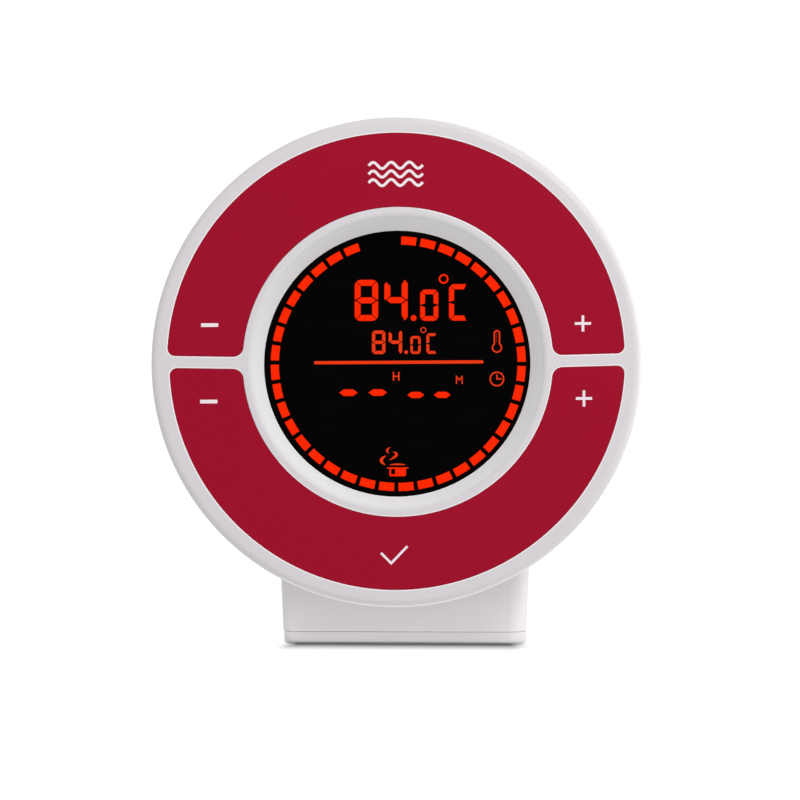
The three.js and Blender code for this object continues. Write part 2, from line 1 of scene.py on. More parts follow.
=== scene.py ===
"""Sous vide circulator: the looks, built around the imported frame.

Lengths here are millimetres in the row frame unless a name says otherwise; MM turns them into metres.
The face of the control head looks along -Y, and depths count back from it.
"""
import math

import bmesh
import bpy
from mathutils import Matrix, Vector


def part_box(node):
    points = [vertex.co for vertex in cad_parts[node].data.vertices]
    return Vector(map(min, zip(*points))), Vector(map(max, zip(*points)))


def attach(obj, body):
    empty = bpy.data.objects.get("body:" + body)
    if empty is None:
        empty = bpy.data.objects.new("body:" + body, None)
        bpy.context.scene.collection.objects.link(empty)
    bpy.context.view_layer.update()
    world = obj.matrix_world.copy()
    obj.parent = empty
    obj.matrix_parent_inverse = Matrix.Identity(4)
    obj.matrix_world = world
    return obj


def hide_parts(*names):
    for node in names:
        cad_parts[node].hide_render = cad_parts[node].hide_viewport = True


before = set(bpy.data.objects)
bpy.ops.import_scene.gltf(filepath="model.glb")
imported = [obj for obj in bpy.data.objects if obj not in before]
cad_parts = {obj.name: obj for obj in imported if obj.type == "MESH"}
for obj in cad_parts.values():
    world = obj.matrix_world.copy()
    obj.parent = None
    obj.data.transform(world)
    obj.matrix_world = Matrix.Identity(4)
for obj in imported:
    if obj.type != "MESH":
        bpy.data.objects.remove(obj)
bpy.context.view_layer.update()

scene = bpy.context.scene
MM = 0.001


def box_mm(node):
    low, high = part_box(node)
    return low / MM, high / MM


# ---- where things are, from the frame ----
bezel_low, bezel_high = box_mm("front_bezel")
rear_low, rear_high = box_mm("head_rear_cover")
leg_low, leg_high = box_mm("leg_housing")

HEAD_R = (bezel_high.x - bezel_low.x) / 2
HEAD_Z = (bezel_high.z + bezel_low.z) / 2
FRONT = bezel_low.y
HEAD_DEPTH = rear_high.y - FRONT
PART_LINE = bezel_high.y - FRONT  # depth of the joint between bezel and rear cover
PART_GAP = 0.4  # how deep that joint's groove is
SPIGOT = rear_low.y - FRONT  # depth at which the rear cover's rim starts inside the bezel
PANEL_OUT = box_mm("upper_touch_panel")[1].x + 0.3
PANEL_IN = 41.0
PANEL_FRONT = 0.03  # the panels lie this far behind the rim
BAR, BAR_DROP = 3.22, 0.3  # height of the bar between the touch panels, and how far it lies below the middle
LOWER_SHRINK, LOWER_SHIFT = 0.995, 0.3  # the lower panel's outer arc is this much narrower and further right
CORNER, INNER_CORNER = 2.0, 2.7  # radius of the touch panels' outer and inner corners
EDGE = 2.2  # radius of the head's outer edges
LIP = 1.3  # radius of the turn from the well into the flat ring
LIP_R, WELL_R, WELL_DEPTH = 39.0, 35.6, 6.3
WINDOW = WELL_DEPTH + 0.5  # depth of the display's window
RING_SHIFT = (0.75, -0.4)  # how far the inner ring lies from the head's middle
WELL_LEAN = 0.08  # how far each millimetre of the well's depth leans back from that shift
DISPLAY_SHIFT = (0.5, -0.4)
TYPE_WIDTH, TYPE_SHIFT = 0.993, -0.12  # the digits and icons are scaled and moved this much across
ROUND = 192  # steps round a full circle of the head
SCREW_REACH = 39.6  # the head's screws lie this far across and up or down from its middle
SCREWS = [(SCREW_REACH * x, SCREW_REACH * z) for x, z in ((1, 1), (-1, 1), (-1, -1), (1, -1))]

LEG_HALF, LEG_FRONT, LEG_BACK = 34.4, leg_low.y, leg_high.y
LEG_MIDDLE = (LEG_FRONT + LEG_BACK) / 2
SEAM, LEG_TOP = leg_low.z, leg_high.z
LEG_CORNER = 5.0
LEG_WALL = 2.0
SEAM_LIFT = 0.25  # the joint between leg and foot shows this far above the leg's lower edge in the frame
DRAFT = (leg_high.x - LEG_HALF) / (LEG_TOP - SEAM)  # how much the leg widens with height
LEVELS = [(48, 12), (54, 5), (60, 5), (66, 5), (72, 5), (78, 12)]  # height and half width of each level line
INLET_Z = 124
AXIS = (0.0, 19.0)  # the pump and motor's upright axis
PIVOT = (-16.5, 118.0)  # the clip's pin, as (y, z)
PIN_R = 1.5
CABLE_X = 26
COIL_NEAR, COIL_FAR, COIL_TUBE = 11.5, 20.0, 2.6  # reach of the heater's two tails, and its tube's radius
PROBE, LOW_SENSOR, HIGH_SENSOR = (-24, 38), (24, 38), (28, 2)
SIDES = ((-1, "left"), (1, "right"))

SHARP = math.radians(32)  # edges that turn more than this are shown sharp
BEVEL_FROM = math.radians(40)  # edges that turn more than this are rounded


# ---- outlines: lists of (across, up) ----
def arc(cx, cz, radius, start, end, steps):
    """Points on a circle, angles in degrees."""
    turns = [math.radians(start + (end - start) * i / steps) for i in range(steps + 1)]
    return [(cx + radius * math.cos(turn), cz + radius * math.sin(turn)) for turn in turns]


def circle(cx, cz, radius, steps=48):
    return arc(cx, cz, radius, 0, 360 * (steps - 1) / steps, steps - 1)


def rectangle(x0, z0, x1, z1):
    return [(x0, z0), (x1, z0), (x1, z1), (x0, z1)]


def rounded(x0, z0, x1, z1, radius, steps=6):
    left, right, low, top = x0 + radius, x1 - radius, z0 + radius, z1 - radius
    corners = ((right, top), (left, top), (left, low), (right, low))
    return [p for i, (x, z) in enumerate(corners) for p in arc(x, z, radius, 90 * i, 90 * i + 90, steps)]


def oblong(x, z, half_width, half_height, radius, steps=6):
    """A rounded rectangle about a point."""
    return rounded(x - half_width, z - half_height, x + half_width, z + half_height, radius, steps)


def grow(outline, distance):
    """The outline moved outwards by a distance, with mitred corners. It runs counter-clockwise."""
    if not distance:
        return list(outline)
    moved = []
    for i, point in enumerate(outline):
        here = Vector(point)
        sides = (here - Vector(outline[i - 1]), Vector(outline[(i + 1) % len(outline)]) - here)
        before, after = (Vector((side.y, -side.x)).normalized() for side in sides)
        middle = (before + after).normalized()
        moved.append(tuple(here + middle * (distance / max(middle.dot(before), 0.35))))
    return moved


def turned(outline):
    """The outline running counter-clockwise."""
    area = sum(outline[i - 1][0] * p[1] - p[0] * outline[i - 1][1] for i, p in enumerate(outline))
    return outline if area > 0 else outline[::-1]


def shifted(outline, dx, dz):
    return [(x + dx, z + dz) for x, z in outline]


def extended(points):
    """The points as vectors, with one more past each end, in line with the last two."""
    path = [Vector(p) for p in points]
    return [path[0] * 2 - path[1], *path, path[-1] * 2 - path[-2]]


def stroke(points, width):
    """Outline of a line of constant width with square ends and mitred bends."""
    left, right, path = [], [], extended(points)
    for before, here, after in zip(path, path[1:], path[2:]):
        ahead = (after - here).normalized()
        along = (ahead + (here - before).normalized()).normalized()
        side = Vector((-along.y, along.x)) * (width / 2 / max(along.dot(ahead), 0.35))
        left.append(tuple(here + side))
        right.append(tuple(here - side))
    return left + right[::-1]


def filleted(points, steps, radius=0.0):
    """The outline with rounded corners. A point may carry its own radius as a third number."""
    made = []
    for i, point in enumerate(points):
        here = Vector(point[:2])
        size = point[2] if len(point) > 2 else radius
        before, after = (Vector(points[j % len(points)][:2]) - here for j in (i - 1, i + 1))
        half = before.angle(after) / 2
        if not size or half > 1.5:
            made.append(tuple(here))
            continue
        reach = min(size / math.tan(half), before.length * 0.48, after.length * 0.48)
        before.normalize()
        after.normalize()
        centre = here + (before + after).normalized() * (reach / math.cos(half))
        start, end = (math.atan2(*(here + side * reach - centre).yx) for side in (before, after))
        sweep = (end - start + math.pi) % (2 * math.pi) - math.pi
        made += arc(*centre, reach * math.tan(half), math.degrees(start), math.degrees(start + sweep), steps)
    return made


def smooth_path(points, steps):
    """Catmull-Rom curve through the points."""
    path, made = extended(points), []
    for i in range(1, len(path) - 2):
        a, b, c, d = path[i - 1:i + 3]
        for t in (k / steps for k in range(steps)):
            made.append(0.5 * (2 * b + (c - a) * t + (2 * a - 5 * b + 4 * c - d) * t * t
                               + (3 * b - a - 3 * c + d) * t ** 3))
    return [*made, path[-2]]


def edge_steps(radius, steps):
    """How far in and how far along each ring of a rounded edge lies, from the face to the side."""
    if not radius:
        return [(0.0, 0.0)]
    turns = [math.radians(90 * i / steps) for i in range(steps + 1)]
    return [(radius * (1 - math.sin(turn)), radius * (1 - math.cos(turn))) for turn in turns]


# ---- places: how an outline and a depth become a point in the row frame ----
def on_face(x, z, depth):
    return Vector((x, FRONT + depth, HEAD_Z + z)) * MM


def on_front(x, z, depth):
    """Like on_face, but the inner ring sits slightly off the middle, as on the object."""
    share = min(max((PANEL_OUT - math.hypot(x, z)) / (PANEL_OUT - PANEL_IN), 0), 1)
    return on_face(x + (RING_SHIFT[0] - WELL_LEAN * depth) * share, z + RING_SHIFT[1] * share, depth)


def on_display(x, z, depth):
    return on_face(x + DISPLAY_SHIFT[0], z + DISPLAY_SHIFT[1], depth)


def along_x(y, z, x):
    return Vector((x, y, z)) * MM


def along_y(x, z, y):
    return Vector((x, y, z)) * MM


def along_z(x, y, z):
    return Vector((x, y, z)) * MM


def on_leg(x, y, z):
    """Upright like along_z, with the leg's moulding draft."""
    return Vector((x * (1 + DRAFT * (z - SEAM) / LEG_HALF), y, z)) * MM


# ---- mesh building ----
class Shape:
    """Gathers closed bodies into one mesh. The methods that add a whole body can be chained."""

    def __init__(self):
        self.bm = bmesh.new()

    def ring(self, outline, place, depth):
        return [self.bm.verts.new(place(a, b, depth)) for a, b in outline]

    def skin(self, rings):
        """Joins each ring to the next. A ring of one point closes the surface there."""
        for first, second in zip(rings, rings[1:]):
            count = max(len(first), len(second))
            for i in range(count):
                near, far = ([loop[k % count % len(loop)] for k in (i, i + 1)] for loop in (first, second))
                self.bm.faces.new(list(dict.fromkeys(near + far[::-1])))

    def fill(self, *rings):
        """Closes a flat face that is bounded by one outer ring and any holes."""
        edges = []
        for loop in rings:
            for i, vert in enumerate(loop):
                pair = (vert, loop[(i + 1) % len(loop)])
                edges.append(self.bm.edges.get(pair) or self.bm.edges.new(pair))
        bmesh.ops.triangle_fill(self.bm, use_beauty=True, edges=edges)

    def close(self, walls):
        """Closes the flat faces at the two ends of the walls."""
        for end in (0, -1):
            self.fill(*[wall[end] for wall in walls])
        return self

    def loops(self, outline, place, levels):
        """An open wall through (growth of the outline, depth)."""
        made = [self.ring(grow(outline, out), place, depth) for out, depth in levels]
        self.skin(made)
        return made

    def revolved(self, profile, place, centre=(0, 0), sides=64):
        """An open wall through (radius, depth). A radius of 0 is a point on the axis."""
        made = [self.ring(circle(*centre, radius, sides) if radius else [centre], place, depth)
                for radius, depth in profile]
        self.skin(made)
        return made

    def plate(self, outlines, place, front, back, edge=0.0, back_edge=0.0, steps=3):
        """A plate between two depths. The first outline is its outside and the rest are holes."""
        sign = 1 if back > front else -1
        levels = [(-inset, front + sign * along) for inset, along in edge_steps(edge, steps)]
        levels += [(-inset, back - sign * along) for inset, along in reversed(edge_steps(back_edge, steps))]
        walls = [self.loops(outlines[0], place, levels)]
        walls += [self.loops(hole, place, [(-out, depth) for out, depth in levels]) for hole in outlines[1:]]
        return self.close(walls)

    def stack(self, levels, place):
        """A body through a list of (outline, depth), with a flat face at each end."""
        rings = [self.ring(outline, place, depth) for outline, depth in levels]
        self.skin(rings)
        return self.close([rings])

    def lathe(self, profile, place, centre=(0, 0), sides=64, steps=5):
        """A body of revolution. Its profile may have fillets, and ends on the axis or closes on itself."""
        rings = self.revolved(filleted(profile, steps), place, centre, sides)
        if len(rings[0]) > 1:
            self.skin([rings[-1], rings[0]])
        return self

    def tube(self, points, radius, sides=16):
        """A round bar along a path, in millimetres, with domed ends."""
        across = (points[1] - points[0]).orthogonal().normalized()
        rings, last, path = [], len(points) - 1, extended(points)
        for i, point in enumerate(points):
            along = (path[i + 2] - path[i]).normalized()
            across = (across - along * across.dot(along)).normalized()
            other = along.cross(across)
            share = 0.7 if i in (0, last) else 1.0
            spokes = [across * x + other * z for x, z in circle(0, 0, 1, sides)]
            rings.append([self.bm.verts.new((point + spoke * radius * share) * MM) for spoke in spokes])
        self.skin(rings)
        self.bm.faces.new(rings[0])
        self.bm.faces.new(rings[-1])
        return self


def plate(*facts):
    return Shape().plate(*facts)


def slab(outline, *facts):
    return Shape().plate([outline], *facts)


def lathe(*facts):
    return Shape().lathe(*facts)


def adjust(thing, **settings):
    for key, value in settings.items():
        setattr(thing, key, value)
    return thing


def shade(obj):
    obj.data.shade_smooth()
    obj.data.set_sharp_from_angle(angle=SHARP)


def solid(shape, name="part"):
    """The Blender object of a shape, or the object itself if it has been made already."""
    if isinstance(shape, bpy.types.Object):
        return shape
    bmesh.ops.recalc_face_normals(shape.bm, faces=shape.bm.faces)
    mesh = bpy.data.meshes.new(name)
    shape.bm.to_mesh(mesh)
    shape.bm.free()
    obj = bpy.data.objects.new(name, mesh)
    scene.collection.objects.link(obj)
    shade(obj)
    return obj


def combine(shape, cutters, operation="DIFFERENCE"):
    """Cuts or joins with other shapes, which are used up."""
    obj, cutters = solid(shape), [solid(cutter) for cutter in cutters]
    for cutter in cutters:
        adjust(obj.modifiers.new("cut", "BOOLEAN"), operation=operation, solver="EXACT", object=cutter)
    bpy.context.view_layer.update()
    evaluated = obj.evaluated_get(bpy.context.evaluated_depsgraph_get())
    mesh = bpy.data.meshes.new_from_object(evaluated)
    mesh.materials.clear()
    obj.modifiers.clear()
    obj.data = mesh
    for cutter in cutters:
        bpy.data.objects.remove(cutter)
    shade(obj)
    return obj


def piece(name, slot, shape, node=None, bevel=0.0, body="casing", look=None):
    """Gives a piece its name, finish, edges and body, and hides the CAD node it stands for.

    A bevel is the radius of its sharp edges in millimetres; None leaves its shading as it is.
    """
    obj = solid(shape)
    obj.name = name
    if not obj.data.materials:
        obj.data.materials.append(LOOKS[look or slot])
    if bevel:
        adjust(obj.modifiers.new("edges", "BEVEL"), width=bevel * MM, segments=2, limit_method="ANGLE",
               angle_limit=BEVEL_FROM)
    if bevel is not None:
        adjust(obj.modifiers.new("normals", "WEIGHTED_NORMAL"), keep_sharp=True, weight=80)
    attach(obj, body)
    if node:
        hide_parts(node)


# ---- materials ----
LOOKS = {}  # name: material


class Nodes:
    """A short way to write the nodes of a material or a world."""

    def __init__(self, owner, shader="Principled BSDF", place="Object"):
        owner.use_nodes = True
        self.tree = owner.node_tree
        self.shader = self.tree.nodes[shader]
        self.place = self.new("TexCoord").outputs[place]

    def put(self, value, socket):
        """Links an output to a socket, or sets the socket to a plain value."""
        if isinstance(value, bpy.types.NodeSocket):
            self.tree.links.new(value, socket)
        else:
            socket.default_value = value

    def new(self, kind, inputs=(), **settings):
        """A node with its inputs' values or links, as (name or number, value), and its settings."""
        node = adjust(self.tree.nodes.new("ShaderNode" + kind), **settings)
        for key, value in inputs:
            self.put(value, node.inputs[key])
        return node

    def set(self, **sockets):
        for key, value in sockets.items():
            self.put(value, self.shader.inputs[key.replace("_", " ")])

    def noise(self, scale, detail=3.0, rough=0.5, stretch=None):
        place = self.place
        if stretch:
            place = self.new("Mapping", [("Scale", stretch), ("Vector", place)]).outputs["Vector"]
        inputs = [("Scale", scale), ("Detail", detail), ("Roughness", rough), ("Vector", place)]
        return self.new("TexNoise", inputs).outputs["Fac"]

    def vector(self, operation, *sources, output="Vector"):
        return self.new("VectorMath", enumerate(sources), operation=operation).outputs[output]

    def range(self, source, low, high, start=0.3, end=0.7):
        """Makes the source's range from start to end run from low to high."""
        return self.new("MapRange", enumerate((source, start, end, low, high))).outputs["Result"]

    def blend(self, factor, first, second):
        colors = [(6, (*first, 1)), (7, (*second, 1))]  # the numbers of the node's two colour sockets
        return self.new("Mix", [("Factor", factor), *colors], data_type="RGBA").outputs[2]

    def cloudy(self, noise, color, darker, lighter):
        """The colour times one share where the noise is low and times the other where it is high."""
        return self.blend(self.range(noise, 0, 1), Vector(color) * darker, Vector(color) * lighter)

    def bump(self, height, strength, distance_mm, before=None):
        inputs = [("Strength", strength), ("Distance", distance_mm * MM), ("Height", height)]
        if before:
            inputs.append(("Normal", before))
        return self.new("Bump", inputs).outputs["Normal"]

    def glow(self, color, strength):
        """Light of its own and nothing that reflects."""
        self.set(Emission_Color=color, Emission_Strength=strength, Base_Color=(0, 0, 0, 1), Roughness=0.6,
                 Specular_IOR_Level=0.0)

    def grain(self, before=None):
        """The fine spark-eroded texture of moulded plastic."""
        return self.bump(self.noise(2600, 2, 0.6), 0.35, 0.012, before)


def look(name):
    """Starts a new material."""
    LOOKS[name] = bpy.data.materials.new(name)
    return Nodes(LOOKS[name])


def moulded(name, color, roughness=0.5, specular=0.4, vary=0.05):
    """Moulded plastic: a fine grain, faint flow marks and uneven gloss."""
    n = look(name)
    flow = n.noise(28, 4, 0.55)
    n.set(Base_Color=n.cloudy(flow, color, 1 - vary, 1 + vary), Specular_IOR_Level=specular,
          Roughness=n.range(n.noise(160), roughness - 0.05, roughness + 0.05),
          Normal=n.grain(n.bump(flow, 0.1, 0.05)))


def well_painted_light(name):
    """The shell's white, painted paler and cooler down the display's well: painted light against its shade
    and red glow.
    """
    n = look(name)
    depth = n.vector("DOT_PRODUCT", n.place, (0, 1, 0), output="Value")
    down = n.range(depth, 0, 1, FRONT * MM, (FRONT + 1) * MM)
    n.set(Base_Color=n.blend(down, SHELL, (0.69, 0.725, 0.735)), Normal=n.grain(), Roughness=0.5,
          Specular_IOR_Level=0.15)


def metal(name, color, roughness=0.3):
    """Brushed or turned metal: fine streaks in one direction."""
    n = look(name)
    streaks = n.noise(420, 4, 0.6, (1, 1, 14))
    n.set(Base_Color=n.cloudy(streaks, color, 0.92, 1.08), Metallic=1.0,
          Roughness=n.range(streaks, roughness - 0.07, roughness + 0.08), Normal=n.bump(streaks, 0.2, 0.01))


def lit(name, color, strength=1.0):
    """A lit display segment: even light with a faint mottle from the diffuser behind it."""
    n = look(name)
    n.glow(n.cloudy(n.noise(900, 2), color, 0.93, 1), strength)


def dark_glass(name):
    """Smoked display window: almost black, with a very faint wipe texture in its gloss."""
    n = look(name)
    wipe = n.noise(60, 5, 0.6, (1, 1, 3))
    n.set(Base_Color=n.blend(n.range(wipe, 0, 1), (0.0004, 0.0004, 0.0005), (0.0009, 0.0009, 0.001)),
          Roughness=n.range(wipe, 0.1, 0.2), Specular_IOR_Level=0.012)


def board(name):
    """Solder mask over copper tracks."""
    n = look(name)
    tracks = n.new("TexVoronoi", [("Scale", 240), ("Vector", n.place)], distance="CHEBYCHEV", feature="F2")
    copper = n.range(tracks.outputs["Distance"], 0, 1, 0.42, 0.46)
    n.set(Base_Color=n.blend(copper, (0.01, 0.09, 0.035), (0.03, 0.19, 0.07)),
          Normal=n.bump(copper, 0.4, 0.03), Roughness=0.38)


def winding(name):
    """Enamelled copper wire laid in turns."""
    n = look(name)
    turns = n.new("TexWave", [("Scale", 900), ("Distortion", 0.6), ("Vector", n.place)],
                  bands_direction="Z").outputs["Fac"]
    n.set(Base_Color=n.blend(turns, (0.2, 0.055, 0.015), (0.55, 0.2, 0.07)), Metallic=0.6, Roughness=0.35,
          Normal=n.bump(turns, 0.7, 0.15))


def silicone(name):
    """Dull black rubber with a coarse, cloudy skin."""
    n = look(name)
    n.set(Base_Color=n.blend(n.range(n.noise(90, 4), 0, 1), (0.016, 0.016, 0.018), (0.03, 0.03, 0.032)),
          Roughness=n.range(n.noise(700), 0.62, 0.82), Normal=n.bump(n.noise(3200, 2), 0.5, 0.02),
          Specular_IOR_Level=0.3)


SHELL = (0.52, 0.501, 0.515)
moulded("white_shell", SHELL, 0.42, 0.25, 0.012)
# the well's paler white is painted light, lifting the shade in the display's recess
well_painted_light("well_painted_light")
# a lighter white for the thin chamfer round the touch panels: a painted highlight
moulded("edge_painted_highlight", (0.72, 0.68, 0.69), 0.36, 0.3, 0.01)
moulded("crimson_panel", (0.262, 0.0027, 0.0175), 0.42, 0.05, 0.008)
moulded("printed_mark", (0.66, 0.6, 0.63), 0.5, 0.2, 0.03)
moulded("black_plastic", (0.014, 0.014, 0.016), vary=0.15)
moulded("grey_plastic", (0.27, 0.275, 0.285), 0.48)
dark_glass("display_glass")
lit("display_light", (1.0, 0.023, 0.0012))
lit("display_light_fine", (0.86, 0.045, 0.008))
lit("light_guide", (1.0, 0.1, 0.03), 0.5)
metal("steel", (0.5, 0.51, 0.53))
metal("aluminium", (0.55, 0.56, 0.58), 0.38)
metal("brass_pin", (0.62, 0.44, 0.16), 0.25)
winding("copper_winding")
board("circuit_board")
silicone("rubber")


# ---- the control head ----
def panel_outline(side):
    """Half ring with rounded corners, above (side 1) or below (side -1) the bar."""
    corners = []
    for reach, radius in ((PANEL_IN + INNER_CORNER, INNER_CORNER), (PANEL_OUT - CORNER, CORNER)):
        z = BAR / 2 - side * BAR_DROP + radius
        corners.append((math.sqrt(reach ** 2 - z ** 2), z, radius, math.degrees(math.asin(z / reach))))
    (*inner, inner_turn), (*outer, outer_turn) = corners
    end = arc(*inner, 180 + inner_turn, 270, 8) + arc(*outer, 270, 360 + outer_turn, 8)
    points = end + arc(0, 0, PANEL_OUT, outer_turn, 180 - outer_turn, 88)[1:-1]
    points += [(-x, z) for x, z in reversed(end)]
    points += arc(0, 0, PANEL_IN, 180 - inner_turn, inner_turn, 64)[1:-1]
    if side < 0:
        points = [(x * LOWER_SHRINK + LOWER_SHIFT, z) if math.hypot(x, z) > (PANEL_IN + PANEL_OUT) / 2
                  else (x, z) for x, z in points]
    return turned([(x, side * z) for x, z in points])


def bezel():
    """The head's front: a rim, a ring with recesses for the touch panels, and the display's well."""
    wall, web = HEAD_R - 2, 3.9
    profile = [(HEAD_R - inset, along) for inset, along in edge_steps(EDGE, 9)]
    profile += [(HEAD_R, PART_LINE - 0.35), (HEAD_R - 0.12, PART_LINE - 0.1), (HEAD_R - PART_GAP, PART_LINE),
                (wall, PART_LINE), (wall, web), (PANEL_IN + 2, web), (39.9, 10), (38.2, 10), (38.2, 6.7),
                (WELL_R + 0.15, WELL_DEPTH + 0.25), (WELL_R, WELL_DEPTH)]
    slope = math.atan2(LIP_R - WELL_R, WELL_DEPTH)
    for i in range(9):
        turn = slope + (math.pi / 2 - slope) * i / 8
        profile.append((LIP_R + LIP * (0.5 - math.cos(turn)), LIP * (1 - math.sin(turn))))
    shape, recesses = Shape(), []
    rings = shape.revolved(profile, on_front, sides=ROUND)
    for side in (1, -1):
        levels = [(0.3, 0), (0.08, 0.05), (0.03, 0.1), (0.03, 1.9)]
        recesses.append(shape.loops(panel_outline(side), on_front, levels))
        shape.fill(recesses[-1][-1])
    shape.fill(rings[0], rings[-1], *[recess[0] for recess in recesses])
    obj = solid(shape)
    for name in ("white_shell", "well_painted_light", "edge_painted_highlight"):
        obj.data.materials.append(LOOKS[name])
    for face in obj.data.polygons:
        middle = face.center / MM - Vector((0, FRONT, HEAD_Z))
        reach = math.hypot(middle.x, middle.z)
        # the well's sides take the paler white: painted light over their shade
        if WELL_R - 0.5 < reach < LIP_R + 0.6 and 0.01 < middle.y < WELL_DEPTH + 0.2:
            face.material_index = 1
        # the chamfer round the touch panels takes the lighter white: a painted highlight
        elif PANEL_IN - 0.5 < reach < PANEL_OUT + 0.5 and 0.005 < middle.y < 0.15:
            face.material_index = 2
    return obj


def rear_cover():
    """The head's back: a rounded dish with four screw wells, a cable port and a label recess."""
    inner, floor, step, joint = HEAD_R - 3.9, HEAD_DEPTH - 2, HEAD_DEPTH - 1, PART_LINE + 0.15
    profile = [(inner, floor), (inner, SPIGOT), (inner + 1.5, SPIGOT), (inner + 1.6, SPIGOT + 0.1),
               (inner + 1.6, joint), (HEAD_R - PART_GAP, joint), (HEAD_R, PART_LINE + 0.5)]
    profile += [(HEAD_R - inset, HEAD_DEPTH - along) for inset, along in reversed(edge_steps(EDGE, 10))]
    shape = Shape()
    walls = [shape.revolved(profile, on_face, sides=ROUND)[::-1]]
    well = [(3.45, HEAD_DEPTH), (3.3, HEAD_DEPTH - 0.15), (3.3, step), (1.7, step), (1.7, floor)]
    walls += [shape.revolved(well, on_face, at, 40) for at in SCREWS]
    port, label = oblong(CABLE_X, 40, 3.4, 3.9, 1), oblong(0, -24, 21, 10, 2)
    walls.append(shape.loops(port, on_face, [(0.2, HEAD_DEPTH), (0, HEAD_DEPTH - 0.2), (0, floor)]))
    recess = shape.loops(label, on_face, [(0.12, HEAD_DEPTH), (0, HEAD_DEPTH - 0.12), (0, HEAD_DEPTH - 0.4)])
    shape.fill(*[wall[0] for wall in walls], recess[0])
    shape.fill(*[wall[-1] for wall in walls])
    shape.fill(recess[-1])
    return shape


def screw(x, z, place, seat, head, shank, tip, size=1.0):
    """A pan-head screw with a cross recess, between the depths of its tip, its head's seat and its head."""
    profile = [(0, tip), (shank * 0.35, tip), (shank, tip - (tip - seat) * 0.06)]
    for i in range(18):
        profile.append((shank * (1.0 if i % 2 else 0.8), tip + (seat - tip) * (0.08 + 0.8 * i / 18)))
    profile += [(shank, seat), (2.9 * size, seat), (3 * size, seat + 0.25 * size), (2.6 * size, head - 0.12),
                (1.8 * size, head), (0, head)]
    arm, half = 1.6 * size, 0.32 * size
    bars = [slab(rectangle(x - a, z - b, x + a, z + b), place, head + 1, head - 0.55)
            for a, b in ((arm, half), (half, arm))]
    return combine(lathe(profile, place, (x, z), 40), bars)


def plus(x, z):
    arm, corners = [(2.125, -0.35), (2.125, 0.35), (0.35, 0.35)], []
    for _ in range(4):
        corners += arm
        arm = [(-up, across) for across, up in arm]
    return shifted(corners, x, z)


def minus(x, z):
    return rectangle(x - 2.3, z - 0.49, x + 2.3, z + 0.49)


def wave(z):
    """A water wave of three crests as a line of constant width."""
    left, width, height, crests, steps = -6.8, 14.4, 0.85, 3, 48
    turns = [(i / steps, 2 * math.pi * crests * i / steps) for i in range(steps + 1)]
    return stroke([(left + width * share, z + height * math.sin(turn)) for share, turn in turns], 0.72)


def printed(outlines, front, back, place):
    """Thin flat shapes between two depths."""
    shape = Shape()
    for outline in outlines:
        shape.plate([turned(outline)], place, front, back)
    return shape


# ---- the display's lit shapes, about the display's middle ----
def digit(x, z, w, h, s, figure):
    """Seven-segment digit with its lower left corner at x, z; s is the width of a segment."""
    r, gap, mid, tip = 0.95 * s, 0.07 * s, h / 2, 0.3 * s
    low, high, base = mid - s / 2, mid + s / 2, mid + gap
    shoulder = mid + 0.32 * s if figure in "0C" else high + gap
    a = arc(w - r, h - r, r, 45, 90, 3) + arc(r, h - r, r, 90, 135, 3) + [(s, h - s), (w - s, h - s)]
    f = arc(r, h - r, r, 135, 180, 3) + [(0, base), (tip, base), (s, shoulder), (s, h - s)]
    b = [(w - px, pz) for px, pz in f]
    g = [(tip, mid), (s, low), (w - s, low), (w - tip, mid), (w - s, high), (s, high)]
    if figure == "4":
        f = [(tip, h - 0.35 * s), (0, h - 0.8 * s), (0, mid + s * 0.1), (tip, mid), (s, shoulder), (s, h - s)]
        b = [(w - 0.5 * s, h), (w - s, h - 0.8 * s), (w - s, shoulder), (w - tip, base), (w, base),
             (w, h - 0.6 * s)]
    if figure == "C":
        a = [(w - 0.4 * s, h - s), (w, h)] + arc(r, h - r, r, 90, 135, 3) + [(s, h - s)]
    c, d, e = ([(px, h - pz) for px, pz in part] for part in (b, a, f))
    parts = dict(zip("abcdefg", (a, b, c, d, e, f, g)))
    used = {"8": "abcdefg", "4": "bcfg", "0": "abcdef", "C": "adef"}[figure]
    return [shifted(grow(turned(parts[key]), -gap / 2 - 0.03), x, z) for key in used]


def ring_shape(x, z, outer, inner):
    """A ring as two half rings, so that each is one simple outline."""
    return [arc(x, z, outer, start, start + 180, 24) + arc(x, z, inner, start + 180, start, 24)
            for start in (0, 180)]


def crescent(start, middle, end, thickness):
    """A steam wisp that curves through three points, thick in its middle."""
    a, b = Vector(start), Vector(end)
    pull = Vector(middle) * 2 - (a + b) / 2
    near, far = [], []
    for t in (i / 12 for i in range(13)):
        base = a.lerp(pull, t).lerp(pull.lerp(b, t), t)
        along = (pull - a).lerp(b - pull, t).normalized()
        half = Vector((-along.y, along.x)) * thickness * 0.5 * math.sin(math.pi * t) ** 0.8
        near.append(tuple(base + half))
        far.append(tuple(base - half))
    return near + far[-2:0:-1]


def dash(x, z, w, h):
    """A lit dash with pointed ends."""
    a, b = w / 4, h / 2
    return shifted([(-2 * a, 0), (-a, -b), (a, -b), (2 * a, 0), (a, b), (-a, b)], x, z)


def letter_marks():
    """The small H and M over the hours and the minutes."""
    bars = [[(x, -4.66), (x, -2.34)] for x in (-1.02, 0.42)] + [[(-0.84, -3.5), (0.24, -3.5)]]
    bends = [(15.92, -5.63), (15.92, -3.67), (16.675, -4.57), (17.43, -3.67), (17.43, -5.63)]
    return [stroke(bar, 0.36) for bar in bars] + [stroke(bends, 0.306)]


def thermometer():
    x, bulb_z, bulb_r, stem, top, w = 26.78, 4.02, 1.20, 0.70, 7.83, 0.38
    turn = math.degrees(math.asin(stem / bulb_r))
    outer = turned(arc(x, bulb_z, bulb_r, 90 - turn, -270 + turn, 22) + arc(x, top, stem, 180, 0, 8))
    half = len(outer) // 2
    ticks = [rectangle(x - 0.32, z, x + 0.08, z + 0.15) for z in (5.6, 6.3, 7.0, 7.7)]
    return [stroke(part, w) for part in (outer[:half + 1], outer[half:] + outer[:1])] + ticks


